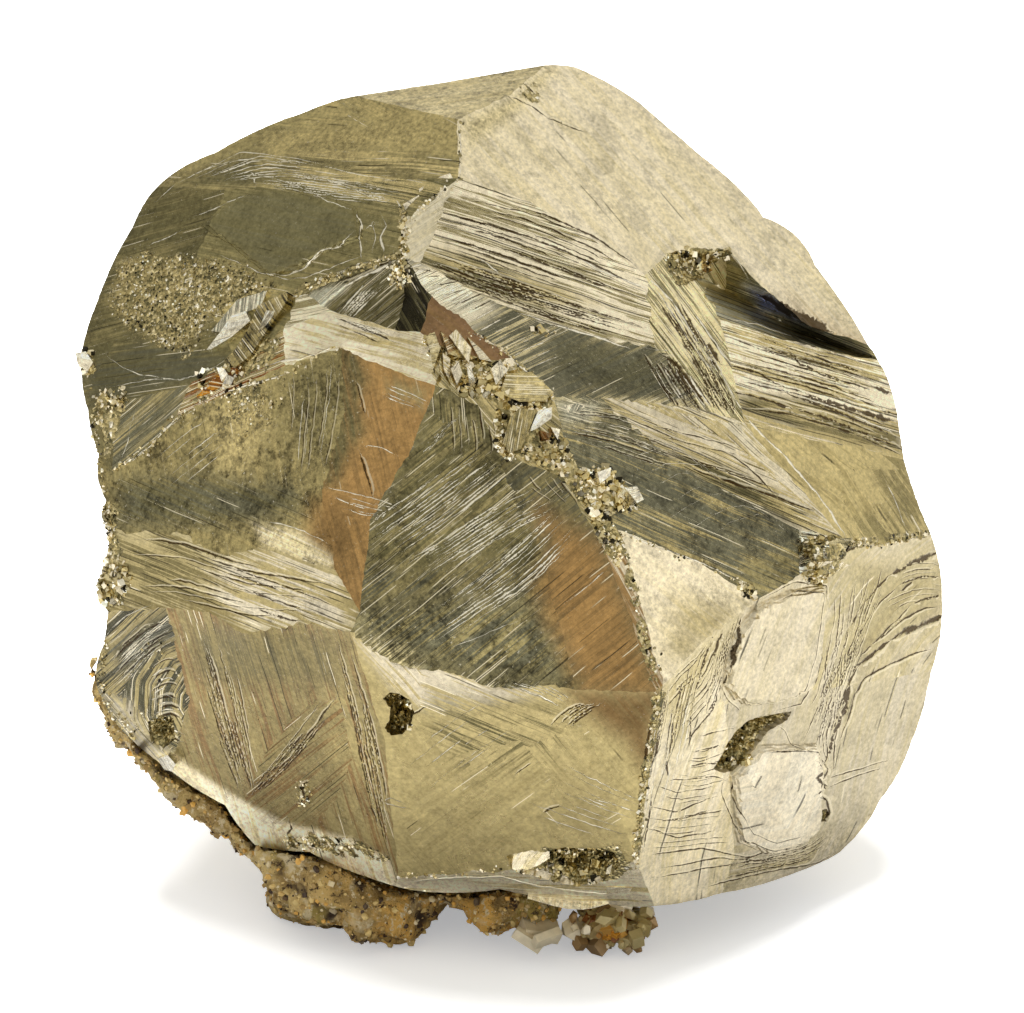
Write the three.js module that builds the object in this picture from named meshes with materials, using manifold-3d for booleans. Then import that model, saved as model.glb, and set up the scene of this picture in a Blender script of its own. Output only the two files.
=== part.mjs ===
// A pyrite specimen: one mass of intergrown crystals on a little brown matrix, in millimetres, +Z up.
// The front is a sheet of flat faces. Its corners are named places in a 1024 x 1013 view of the specimen,
// each with its depth toward the viewer, and the sheet is closed by a back of large flat faces.
import * as THREE from "three";
import { ConvexGeometry } from "three/addons/geometries/ConvexGeometry.js";
import { mergeVertices } from "three/addons/utils/BufferGeometryUtils.js";
import Module from "manifold-3d";

const wasm = await Module();
wasm.setup();

// Driving sizes, in millimetres and degrees.
const SPECIMEN_WIDTH = 60.4;
const VIEW_WIDTH_OF_SPECIMEN = 865;
const VIEW_CENTRE = [512, 506.5];
const VIEW_DISTANCE = 420;
const VIEW_ELEVATION = THREE.MathUtils.degToRad(25);
const BODY_CENTRE = new THREE.Vector3(0.11, -0.53, 27.4);
const MM_PER_UNIT = SPECIMEN_WIDTH / VIEW_WIDTH_OF_SPECIMEN;

const RIGHT = new THREE.Vector3(1, 0, 0);
const UP = new THREE.Vector3(0, Math.sin(VIEW_ELEVATION), Math.cos(VIEW_ELEVATION));
const TOWARD = new THREE.Vector3(0, -Math.cos(VIEW_ELEVATION), Math.sin(VIEW_ELEVATION));
const EYE = BODY_CENTRE.clone().addScaledVector(TOWARD, VIEW_DISTANCE);

// Corners of the front faces: across, down, and depth toward the viewer in millimetres.
const OUTLINE_CORNERS = {
  oA1: [80, 360, 5],
  oA2: [97, 302, 4],
  oA3: [132, 228, 3],
  oA4: [157, 187, 3],
  oA5: [215, 153, 3],
  oA6: [300, 114, 4],
  oA7: [355, 96, 5],
  oT1: [440, 83, 4],
  oT2: [545, 65, 2.5],
  oB1: [575, 67, 2],
  oB2: [640, 103, 1.5],
  oB3: [700, 155, 1.8],
  oB4: [757, 208, 2],
  oB5: [763, 217, 1.8],
  oB6: [815, 265, 2.2],
  oB7: [868, 345, 4],
  oG0: [878, 360, 0.3],
  oG1: [888, 380, -1],
  oG2: [898, 420, -1.5],
  oG3: [904, 460, -2],
  oG4: [930, 532, -3],
  oJ1: [942, 600, -3.5],
  oJ2: [931, 672, -3.5],
  oJ3: [912, 740, -3],
  oJ4: [880, 800, -2.5],
  oJ5: [840, 852, -1.5],
  oJ6: [800, 871, 0],
  oJ7: [722, 893, 3],
  oQ1: [655, 906, 5],
  oQ2: [600, 903, 6],
  oQ3: [500, 889, 6.5],
  oQ4: [430, 892, 5],
  oQ5: [395, 886, 5],
  oO1: [310, 852, 5],
  oO2: [255, 845, 2.5],
  oO3: [225, 805, 2],
  oO4: [170, 770, 1],
  oO5: [120, 728, 1],
  oO6: [98, 690, 1.5],
  oO7: [104, 645, 3],
  oN1: [108, 612, 4],
  oN2: [106, 565, 4],
  oN3: [110, 530, 5],
  oM1: [106, 500, 5],
  oM2: [99, 455, 4],
  oM3: [88, 410, 4],
};

const INNER_CORNERS = {
  aT: [458, 120, 11],
  aM1: [225, 190, 9],
  aM2: [345, 182, 13],
  aM4: [190, 275, 9],
  aL1: [300, 290, 14.5],
  aL2: [283, 330, 14],
  aL3: [235, 358, 11.5],
  aL4: [190, 385, 9.5],
  aL5: [115, 403, 6.5],
  bS: [512, 94, 6.5],
  pA: [458, 178, 14],
  pB: [405, 220, 16],
  pC: [403, 258, 17.5],
  c2: [530, 202, 13],
  c3: [600, 245, 11.5],
  c4: [645, 275, 10.5],
  c5: [420, 262, 17.5],
  c6: [480, 295, 16.5],
  c7: [540, 322, 15],
  c8: [600, 338, 13.5],
  c9: [655, 348, 12],
  d1: [432, 296, 18.5],
  d2: [470, 325, 18.5],
  d3: [512, 360, 18],
  d4: [553, 396, 17],
  d5: [700, 408, 12],
  d6: [640, 402, 14.3],
  h3: [690, 385, 11.5],
  n1: [668, 253, 8.5],
  n2: [697, 275, 8],
  n3: [720, 320, 9.8],
  n4: [728, 250, 5.5],
  n5: [762, 278, 5],
  n6: [805, 320, 4.5],
  nF1: [725, 290, 3.5],
  nF2: [800, 331, 0.5],
  g0: [745, 423, 9.5],
  g2: [780, 340, 6.3],
  e0: [572, 470, 20],
  e1: [600, 398, 15.2],
  e2: [650, 440, 14.5],
  e3: [690, 472, 13.5],
  e4: [740, 500, 12.8],
  e5: [800, 530, 11],
  e6: [845, 540, 6.5],
  e7: [800, 575, 12],
  k1: [618, 530, 20],
  k2: [700, 562, 17],
  k3: [758, 600, 14.5],
  k4: [705, 640, 17],
  k5: [663, 685, 19],
  kK: [650, 635, 19.8],
  jA: [830, 598, 9],
  jB: [812, 690, 9.5],
  jC: [725, 705, 15],
  jG: [735, 855, 6],
  j5: [880, 545, 2.5],
  rA: [330, 310, 14],
  rB: [405, 298, 15],
  rC: [395, 330, 16],
  rD: [440, 348, 19.5],
  rE: [420, 332, 17],
  rF: [490, 360, 19],
  mT1: [435, 385, 22.5],
  mT2: [365, 360, 20],
  mT3: [342, 348, 18.8],
  mT4: [285, 365, 16],
  mT5: [240, 386, 14],
  mT6: [175, 418, 11.5],
  mT7: [140, 455, 10],
  mT8: [112, 472, 7.5],
  mM1: [343, 420, 19.5],
  mM2: [322, 490, 18.5],
  lT2: [478, 405, 21.5],
  lT3: [500, 455, 22],
  lT4: [560, 475, 21.3],
  lT5: [602, 545, 20.5],
  lR: [630, 615, 20.8],
  lM: [548, 575, 22.5],
  lL1: [413, 445, 22.8],
  lL2: [370, 520, 21.5],
  lB0: [350, 632, 20.5],
  lB1: [380, 655, 21],
  lB2: [480, 684, 21.3],
  lB3: [575, 690, 20.5],
  lB4: [655, 692, 19.3],
  nR: [360, 612, 21],
  nT1: [185, 535, 12],
  nT2: [215, 558, 14],
  nT3: [260, 548, 16.5],
  nT4: [335, 570, 20],
  nB1: [165, 608, 9.5],
  nB2: [205, 612, 12.5],
  nB3: [250, 635, 15.5],
  nB4: [300, 622, 18.5],
  oM: [190, 700, 9],
  pO: [385, 740, 15.5],
  p0: [398, 878, 7],
  p1: [505, 870, 9],
  p4: [636, 862, 9.5],
};

const CORNERS = { ...OUTLINE_CORNERS, ...INNER_CORNERS };

// Corners of the notch, the recess and the crevice, which stay sunk when the faces are flattened.
const HELD_CORNERS = [
  "nF1", "nF2", "rA", "rB", "rC", "rE", "aL2", "aL3", "n4", "n5", "n6", "oB7", "oG0", "g2", "n3",
];
const FIRM_HOLD = 6;
const LOOSE_HOLD = 0.03;
const FLATTENING_ROUNDS = 400;

// Front faces, each a ring of corners.
const FACES = {
  upper_left_rim: ["oA4", "oA5", "oA6", "oA7", "aT", "pA", "aM2", "aM1"],
  upper_left_dark: ["aM1", "aM2", "pA", "pB", "pC", "aL1", "aL2", "aL3", "aM4"],
  upper_left_edge: ["oM3", "oA1", "oA2", "oA3", "oA4", "aM1", "aM4", "aL3", "aL4", "aL5"],
  top_sliver: ["oA7", "oT1", "oT2", "bS", "aT"],
  top_cream: [
    "aT", "bS", "oT2", "oB1", "oB2", "oB3", "oB4", "oB5", "oB6", "oB7",
    "n6", "n5", "n4", "n1", "c4", "c3", "c2", "pA",
  ],
  pale_corner: ["pA", "c5", "pC", "pB"],
  upper_band: ["pA", "c2", "c3", "c4", "c9", "c8", "c7", "c6", "c5"],
  silver_band: ["pC", "c5", "c6", "c7", "c8", "c9", "h3", "d5", "d6", "e1", "d4", "d3", "d2", "d1"],
  hatched: ["c4", "n1", "n2", "n3", "g0", "d5", "h3", "c9"],
  notch_rim: ["n1", "n4", "nF1", "n2"],
  notch_wall: ["n4", "n5", "n6", "oB7", "oG0", "nF2", "nF1"],
  notch_floor: ["n2", "nF1", "nF2", "oG0", "g2", "n3"],
  right_band: ["n3", "g2", "oG0", "oG1", "oG2", "oG3", "g0"],
  right_fan: ["g0", "oG3", "oG4", "j5", "e6"],
  feather_cream: ["e1", "d6", "d5", "g0", "e6", "e5", "e4", "e3", "e2"],
  slate: ["d4", "e1", "e2", "e3", "e4", "e5", "e7", "k3", "k2", "k1", "e0"],
  ledge_step: ["e5", "e6", "e7"],
  small_cream: ["k1", "k2", "k3", "k4", "k5", "kK"],
  brown_edge: ["lT5", "k1", "kK", "k5", "lB4", "lR"],
  lower_right_top: ["k3", "e7", "jA", "jB", "jC", "k4"],
  lower_right_side: ["e7", "e6", "j5", "oG4", "oJ1", "oJ2", "jB", "jA"],
  lower_right_left: ["k5", "k4", "jC", "jG", "oJ7", "oQ1", "p4"],
  lower_right_base: ["jC", "jB", "oJ2", "oJ3", "oJ4", "oJ5", "oJ6", "oJ7", "jG"],
  left_olive: ["oM3", "aL5", "mT8", "oM2"],
  left_purple: ["aL5", "aL4", "mT6", "mT7", "mT8"],
  crevice: ["aL4", "aL3", "aL2", "mT4", "mT5", "mT6"],
  recess_side: ["aL2", "aL1", "rA"],
  recess_wall: ["aL1", "pC", "rB", "rC", "rA"],
  recess_dark: ["pC", "d1", "rE", "rC", "rB"],
  recess_brown: ["d1", "d2", "d3", "rF", "rD", "rE"],
  recess_band: ["aL2", "rA", "rC", "rE", "rD", "mT1", "mT2", "mT3", "mT4"],
  seam_upper: ["rD", "rF", "d3", "d4", "lT3", "lT2", "mT1"],
  seam_lower: ["d4", "e0", "k1", "lT5", "lT4", "lT3"],
  left_front: [
    "mT8", "mT7", "mT6", "mT5", "mT4", "mT3", "mM1", "mM2",
    "nT4", "nT3", "nT2", "nT1", "oN3", "oM1", "oM2",
  ],
  left_copper: ["mT3", "mT2", "mT1", "lL1", "lL2", "nR", "nT4", "mM2", "mM1"],
  left_band: ["oN3", "nT1", "nT2", "nT3", "nT4", "nR", "lB0", "nB4", "nB3", "nB2", "nB1", "oN1", "oN2"],
  centre: ["mT1", "lT2", "lT3", "lM", "lB3", "lB2", "lB1", "lB0", "nR", "lL2", "lL1"],
  centre_copper: ["lT3", "lT4", "lT5", "lR", "lB4", "lB3", "lM"],
  lower_left_arc: ["oO7", "oN1", "nB1", "oM", "oO4", "oO5", "oO6"],
  lower_left: [
    "nB1", "nB2", "nB3", "nB4", "lB0", "pO", "p0", "oQ5", "oO1", "oO2", "oO3", "oO4", "oM",
  ],
  lower_centre: ["lB0", "lB1", "lB2", "lB3", "p4", "p1", "p0", "pO"],
  lower_centre_side: ["lB3", "lB4", "k5", "p4"],
  underside_bevel: ["p0", "p1", "p4", "oQ1", "oQ2", "oQ3", "oQ4", "oQ5"],
};

// The back: rings behind the outline, then the large flat faces that cut them, each an outward direction and
// its least distance from the body's centre. A face that would cut into the outline stands further out, just
// past it.
const BACK_RINGS = [
  { depth: -9, size: 0.985 },
  { depth: -18, size: 0.9 },
  { depth: -25, size: 0.66 },
];
const TAIL_DEPTH = -29;
const BACK_FACES = {
  back: { out: [0.12, 0.98, 0.16], reach: 21.4 },
  back_top: { out: [-0.12, 0.72, 0.68], reach: 23.6 },
  back_left: { out: [-0.8, 0.58, 0.14], reach: 24.4 },
  back_right: { out: [0.82, 0.56, 0.08], reach: 24.8 },
  back_low: { out: [0.08, 0.74, -0.67], reach: 20.6 },
  low_left: { out: [-0.62, 0.42, -0.66], reach: 22.5 },
  low_right: { out: [0.6, 0.34, -0.72], reach: 22.5 },
  top_left: { out: [-0.6, 0.38, 0.7], reach: 25.6 },
  top_right: { out: [0.52, 0.46, 0.72], reach: 25.2 },
  underside: { out: [0.02, -0.04, -1], reach: 21.6 },
};

// Steady pseudo-random numbers, the same at every run.
function makeRandom(seed) {
  let state = seed;
  return () => {
    state = (state * 16807) % 2147483647;
    return state / 2147483647;
  };
}
const random = makeRandom(20177);
const between = (low, high) => low + (high - low) * random();

// A place in the view and its depth as a point of the part.
function spot([across, down, depth]) {
  const reach = (VIEW_DISTANCE - depth) / VIEW_DISTANCE;
  return BODY_CENTRE.clone()
    .addScaledVector(RIGHT, (across - VIEW_CENTRE[0]) * MM_PER_UNIT * reach)
    .addScaledVector(UP, (VIEW_CENTRE[1] - down) * MM_PER_UNIT * reach)
    .addScaledVector(TOWARD, depth);
}

// The plane, nearness = a + b across + c down, that best fits a face's corners. Nearness is one over the
// distance from the eye, which is even across any flat face.
function fitNearness(names, nearness) {
  const mean = [0, 0, 0];
  names.forEach((name) => {
    mean[0] += CORNERS[name][0] / names.length;
    mean[1] += CORNERS[name][1] / names.length;
    mean[2] += nearness[name] / names.length;
  });
  let xx = 0;
  let xy = 0;
  let yy = 0;
  let xq = 0;
  let yq = 0;
  names.forEach((name) => {
    const x = CORNERS[name][0] - mean[0];
    const y = CORNERS[name][1] - mean[1];
    const q = nearness[name] - mean[2];
    xx += x * x;
    xy += x * y;
    yy += y * y;
    xq += x * q;
    yq += y * q;
  });
  const scale = xx * yy - xy * xy;
  const slopeX = (xq * yy - yq * xy) / scale;
  const slopeY = (yq * xx - xq * xy) / scale;
  return (across, down) => mean[2] + slopeX * (across - mean[0]) + slopeY * (down - mean[1]);
}

// Moves each corner along its line of sight until every face is as good as flat.
function flattenFaces() {
  const nearness = {};
  const first = {};
  for (const [name, corner] of Object.entries(CORNERS)) {
    first[name] = 1 / (VIEW_DISTANCE - corner[2]);
    nearness[name] = first[name];
  }
  for (let round = 0; round < FLATTENING_ROUNDS; round += 1) {
    const sum = {};
    const count = {};
    for (const names of Object.values(FACES)) {
      const plane = fitNearness(names, nearness);
      names.forEach((name) => {
        sum[name] = (sum[name] ?? 0) + plane(CORNERS[name][0], CORNERS[name][1]);
        count[name] = (count[name] ?? 0) + 1;
      });
    }
    for (const name of Object.keys(CORNERS)) {
      const hold = HELD_CORNERS.includes(name) ? FIRM_HOLD : LOOSE_HOLD;
      nearness[name] = (sum[name] + hold * first[name]) / (count[name] + hold);
    }
  }
  const points = {};
  for (const [name, [across, down]] of Object.entries(CORNERS)) {
    points[name] = spot([across, down, VIEW_DISTANCE - 1 / nearness[name]]);
  }
  return points;
}

const cornerPoint = flattenFaces();

// A face's own frame: its middle, its outward normal and its outline.
function faceFrame(names) {
  const middle = new THREE.Vector3();
  const normal = new THREE.Vector3();
  names.forEach((name, i) => {
    const here = cornerPoint[name];
    const next = cornerPoint[names[(i + 1) % names.length]];
    middle.addScaledVector(here, 1 / names.length);
    normal.add(new THREE.Vector3().crossVectors(here, next));
  });
  normal.normalize();
  if (normal.dot(TOWARD) < 0) normal.negate();
  return { middle, normal };
}

const faceFrames = {};
for (const [name, corners] of Object.entries(FACES)) {
  faceFrames[name] = faceFrame(corners);
}

// The line of sight through a place in the view, met with a face's plane.
function onPlane([across, down], frame) {
  const aim = spot([across, down, 0]).sub(EYE).normalize();
  const travel = frame.middle.clone().sub(EYE).dot(frame.normal) / aim.dot(frame.normal);
  return EYE.clone().addScaledVector(aim, travel);
}

function isInside([across, down], outline) {
  let inside = false;
  outline.forEach(([x1, y1], i) => {
    const [x2, y2] = outline[(i + 1) % outline.length];
    if (y1 > down !== y2 > down && across < ((x2 - x1) * (down - y1)) / (y2 - y1) + x1) inside = !inside;
  });
  return inside;
}

// The point and normal of the front at a place in the view.
function surfaceAt(place) {
  for (const [name, corners] of Object.entries(FACES)) {
    const outline = corners.map((corner) => CORNERS[corner]);
    if (isInside(place, outline)) {
      return { point: onPlane(place, faceFrames[name]), normal: faceFrames[name].normal };
    }
  }
  throw new Error("no face at " + place);
}

// Turns triangles of points into a solid.
function solidFromTriangles(triangles) {
  const positions = triangles.flat().flatMap((point) => point.toArray());
  const geometry = new THREE.BufferGeometry();
  geometry.setAttribute("position", new THREE.Float32BufferAttribute(positions, 3));
  return solidFromGeometry(geometry);
}

function solidFromGeometry(geometry) {
  const bare = geometry.clone();
  bare.deleteAttribute("normal");
  bare.deleteAttribute("uv");
  const merged = mergeVertices(bare, 1e-5);
  return new wasm.Manifold(
    new wasm.Mesh({
      numProp: 3,
      vertProperties: merged.getAttribute("position").array,
      triVerts: new Uint32Array(merged.index.array),
    }),
  );
}

function geometryFromSolid(solid) {
  const mesh = solid.getMesh();
  const geometry = new THREE.BufferGeometry();
  geometry.setAttribute("position", new THREE.BufferAttribute(new Float32Array(mesh.vertProperties), 3));
  geometry.setIndex(new THREE.BufferAttribute(new Uint32Array(mesh.triVerts), 1));
  const flat = geometry.toNonIndexed();
  flat.computeVertexNormals();
  return flat;
}

const joinAll = (solids) => solids.reduce((whole, solid) => whole.add(solid));

// A flat outline as triangles of its indices, each turning left.
function fillOutline(outline) {
  return THREE.ShapeUtils.triangulateShape(outline, []).map(([a, b, c]) => {
    const [p, q, r] = [outline[a], outline[b], outline[c]];
    const turn = (q.x - p.x) * (r.y - p.y) - (q.y - p.y) * (r.x - p.x);
    return turn > 0 ? [a, b, c] : [c, b, a];
  });
}

// The front sheet, the rings behind its outline and a closing fan.
function rawBody() {
  const triangles = [];
  for (const names of Object.values(FACES)) {
    const outline = names.map((name) => new THREE.Vector2(CORNERS[name][0], -CORNERS[name][1]));
    for (const corners of fillOutline(outline)) {
      triangles.push(corners.map((i) => cornerPoint[names[i]]));
    }
  }
  let ring = Object.keys(OUTLINE_CORNERS).map((name) => cornerPoint[name]);
  for (const { depth, size } of BACK_RINGS) {
    const next = Object.values(OUTLINE_CORNERS).map(([across, down]) =>
      spot([
        VIEW_CENTRE[0] + (across - VIEW_CENTRE[0]) * size,
        VIEW_CENTRE[1] + (down - VIEW_CENTRE[1]) * size,
        depth,
      ]),
    );
    ring.forEach((here, i) => {
      const j = (i + 1) % ring.length;
      triangles.push([here, ring[j], next[j]], [here, next[j], next[i]]);
    });
    ring = next;
  }
  const tail = spot([...VIEW_CENTRE, TAIL_DEPTH]);
  ring.forEach((here, i) => triangles.push([here, ring[(i + 1) % ring.length], tail]));
  return solidFromTriangles(triangles);
}

const PAST_OUTLINE = 0.05;
function backFrame({ out, reach }) {
  const normal = new THREE.Vector3(...out).normalize();
  const outline = Object.keys(OUTLINE_CORNERS).map((name) => cornerPoint[name].clone().sub(BODY_CENTRE));
  const away = Math.max(reach, Math.max(...outline.map((from) => from.dot(normal))) + PAST_OUTLINE);
  return { middle: BODY_CENTRE.clone().addScaledVector(normal, away), normal };
}

// A large block whose bottom face lies on a back face's plane, to cut away what is past it.
function beyond(face) {
  const SIZE = 120;
  const { middle, normal } = backFrame(face);
  const block = new THREE.BoxGeometry(SIZE, SIZE, SIZE);
  block.applyQuaternion(new THREE.Quaternion().setFromUnitVectors(new THREE.Vector3(0, 0, 1), normal));
  block.translate(...middle.addScaledVector(normal, SIZE / 2).toArray());
  return solidFromGeometry(block);
}

function plainBody() {
  let solid = rawBody();
  for (const face of Object.values(BACK_FACES)) {
    solid = solid.subtract(beyond(face));
  }
  return solid;
}

// A closed solid through rings of as many points each, with flat ends.
function loft(rings) {
  const first = rings[0];
  const last = rings[rings.length - 1];
  const ahead = new THREE.Vector3();
  first.forEach((here, i) => {
    const next = first[(i + 1) % first.length];
    ahead.add(new THREE.Vector3().crossVectors(here.clone().sub(first[0]), next.clone().sub(first[0])));
  });
  ahead.normalize();
  const axisX = first[1].clone().sub(first[0]).normalize();
  const axisY = new THREE.Vector3().crossVectors(ahead, axisX);
  const flat = first.map((point) => new THREE.Vector2(point.dot(axisX), point.dot(axisY)));
  const triangles = [];
  for (const [a, b, c] of fillOutline(flat)) {
    triangles.push([first[c], first[b], first[a]], [last[a], last[b], last[c]]);
  }
  for (let k = 0; k + 1 < rings.length; k += 1) {
    const [low, high] = [rings[k], rings[k + 1]];
    low.forEach((here, i) => {
      const j = (i + 1) % low.length;
      triangles.push([here, low[j], high[j]], [here, high[j], high[i]]);
    });
  }
  const solid = solidFromTriangles(triangles);
  return solid.volume() > 0 ? solid : solidFromTriangles(triangles.map(([a, b, c]) => [c, b, a]));
}

// The direction that a line drawn in the view at a slope, in degrees down to the right, takes on a face.
function lineOnFace(place, slope, frame) {
  const turn = THREE.MathUtils.degToRad(slope);
  const next = [place[0] + 10 * Math.cos(turn), place[1] + 10 * Math.sin(turn)];
  return onPlane(next, frame).sub(onPlane(place, frame)).normalize();
}

// Where a line at one height across a flat outline of [along, across] pairs runs inside it.
function insideSpans(outline, level) {
  const cuts = [];
  outline.forEach(([t1, s1], i) => {
    const [t2, s2] = outline[(i + 1) % outline.length];
    if (s1 > level !== s2 > level) cuts.push(t1 + ((level - s1) / (s2 - s1)) * (t2 - t1));
  });
  cuts.sort((a, b) => a - b);
  const spans = [];
  for (let i = 0; i + 1 < cuts.length; i += 2) {
    spans.push([cuts[i], cuts[i + 1]]);
  }
  return spans;
}

// Growth ledges on a flat face: long wedges that rise to one side and break off there. They run along a line
// and end at random inside the outline.
const LEDGE_ROOT = -0.45;
const LEDGE_FOOT = -0.06;
const LEDGE_OVERLAP = 0.02;
const LEAST_LEDGE = 1.2;
function ledges({ frame, outline, along, pitch, height, shorten, riser }) {
  const across = new THREE.Vector3().crossVectors(frame.normal, along);
  const flat = outline.map((point) => {
    const from = point.clone().sub(frame.middle);
    return [from.dot(along), from.dot(across)];
  });
  const levels = flat.map(([, s]) => s);
  const top = Math.max(...levels);
  const solids = [];
  let low = Math.min(...levels) + between(0.1, 0.6) * pitch;
  while (low < top) {
    const width = pitch * between(0.6, 1.4);
    for (const [start, end] of insideSpans(flat, low + width / 2)) {
      const length = end - start;
      if (length < LEAST_LEDGE) continue;
      const t0 = start + length * shorten * random();
      const t1 = end - length * shorten * random();
      const rise = height * between(0.45, 1.1);
      const high = low + width + LEDGE_OVERLAP;
      const [foot, lip] = riser > 0 ? [low, high] : [high, low];
      const place = (t, s, up) => {
        const point = frame.middle.clone().addScaledVector(along, t).addScaledVector(across, s);
        return point.addScaledVector(frame.normal, up);
      };
      const section = (t, h) => [
        place(t, foot, LEDGE_ROOT),
        place(t, lip, LEDGE_ROOT),
        place(t, lip, h),
        place(t, foot, LEDGE_FOOT),
      ];
      const fade = between(0.1, 1);
      const [from, to] = random() > 0.5 ? [rise, rise * fade] : [rise * fade, rise];
      solids.push(loft([section(t0, from), section(t1, to)]));
    }
    low += width;
  }
  return solids;
}

// Ledges on a front face, with the outline and the slope as seen in the view.
function frontLedges({ face, outline, slope, ...shape }) {
  const frame = faceFrames[face];
  const seen = outline ?? FACES[face].map((name) => CORNERS[name].slice(0, 2));
  const middle = [0, 1].map((k) => seen.reduce((sum, place) => sum + place[k] / seen.length, 0));
  return ledges({
    frame,
    outline: seen.map((place) => onPlane(place, frame)),
    along: lineOnFace(middle, slope, frame),
    ...shape,
  });
}

// A plate on a front face in steps, each smaller than the one it lies on. Its outline is as seen in the view.
const PLATE_ROOT = -1.2;
const PLATE_TAPER = 0.99;
function plate({ face, outline, steps, rise, shrink }) {
  const frame = faceFrames[face];
  const ring = outline.map((place) => onPlane(place, frame));
  const middle = new THREE.Vector3();
  ring.forEach((point) => middle.addScaledVector(point, 1 / ring.length));
  const solids = [];
  for (let step = 1; step <= steps; step += 1) {
    const size = 1 - shrink * (step - 1);
    const place = (height, grow) =>
      ring.map((point) => middle.clone().lerp(point, size * grow).addScaledVector(frame.normal, height));
    solids.push(loft([place(PLATE_ROOT, 1), place(rise * step, PLATE_TAPER)]));
  }
  return solids;
}

// A small crystal with flat faces: the hull of points scattered over a ball, stretched and turned.
function crystal(point, size, points = 8) {
  const turn = new THREE.Quaternion().setFromEuler(
    new THREE.Euler(between(0, Math.PI), between(0, Math.PI), between(0, Math.PI)),
  );
  const stretch = new THREE.Vector3(between(0.75, 1.2), between(0.75, 1.2), between(0.75, 1.2));
  const corners = [];
  for (let i = 0; i < points; i += 1) {
    const height = 1 - (2 * (i + 0.5)) / points;
    const angle = i * 2.4 + between(-0.35, 0.35);
    const wide = Math.sqrt(1 - height * height);
    const corner = new THREE.Vector3(wide * Math.cos(angle), wide * Math.sin(angle), height);
    corners.push(corner.multiply(stretch).applyQuaternion(turn).multiplyScalar(size).add(point));
  }
  return solidFromGeometry(new ConvexGeometry(corners));
}

// A cube, turned at random.
function cube(point, size) {
  const box = new THREE.BoxGeometry(size, size * between(0.8, 1.1), size * between(0.8, 1.1));
  box.rotateX(between(0, Math.PI));
  box.rotateY(between(0, Math.PI));
  box.translate(point.x, point.y, point.z);
  return solidFromGeometry(box);
}

// Crystals set into the front at places [across, down, radius].
function setCrystals(places, sink = 0.25) {
  return places.map(([across, down, size], i) => {
    const { point, normal } = surfaceAt([across, down]);
    const middle = point.clone().addScaledVector(normal, -sink * size);
    return i % 3 === 0 ? cube(middle, size * 1.5) : crystal(middle, size);
  });
}

// A ragged hole in the front: wide at the surface and narrow below.
function pit({ outline, deep, narrow }) {
  const middle = [0, 1].map((k) => outline.reduce((sum, place) => sum + place[k] / outline.length, 0));
  const { point, normal } = surfaceAt(middle);
  const frame = { middle: point, normal };
  const rim = outline.map((place) => onPlane(place, frame));
  const level = (height, size) =>
    rim.map((corner) => point.clone().lerp(corner, size).addScaledVector(normal, height));
  return loft([level(1.5, 1.25), level(0, 1), level(-deep * 0.6, (1 + narrow) / 2), level(-deep, narrow)]);
}

// A lump of rock: a ball of small faces, swollen and dented by waves.
function lump(point, [wide, deep, tall], phase) {
  const ball = new THREE.IcosahedronGeometry(1, 1);
  const corners = ball.getAttribute("position");
  for (let i = 0; i < corners.count; i += 1) {
    const [x, y, z] = [corners.getX(i), corners.getY(i), corners.getZ(i)];
    const swell =
      1 +
      0.12 * Math.sin(5.1 * x + phase) * Math.cos(4.3 * y + 2 * phase) +
      0.1 * Math.sin(7.7 * z + 3 * phase + 4 * x) +
      0.07 * Math.sin(11.3 * y - 9.1 * z + phase);
    corners.setXYZ(i, point.x + wide * x * swell, point.y + deep * y * swell, point.z + tall * z * swell);
  }
  return solidFromGeometry(ball);
}

// A lump whose outer edge shows at a place in the view.
const LUMP_SWELL = 1.12;
const LUMP_LENGTHENING = 1.3;
function rimLump([across, down, depth, size], i) {
  const inward = new THREE.Vector2(VIEW_CENTRE[0] - across, VIEW_CENTRE[1] - down);
  inward.setLength((size * LUMP_SWELL) / MM_PER_UNIT);
  const middle = spot([across + inward.x, down + inward.y, depth]);
  return lump(middle, [size, size * LUMP_LENGTHENING, size], i * 1.7);
}

// The same solid a little larger about its middle, to cut a neighbour clear of it.
function grown(solid, middle, factor) {
  return solid
    .translate([-middle.x, -middle.y, -middle.z])
    .scale([factor, factor, factor])
    .translate([middle.x, middle.y, middle.z]);
}

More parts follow.
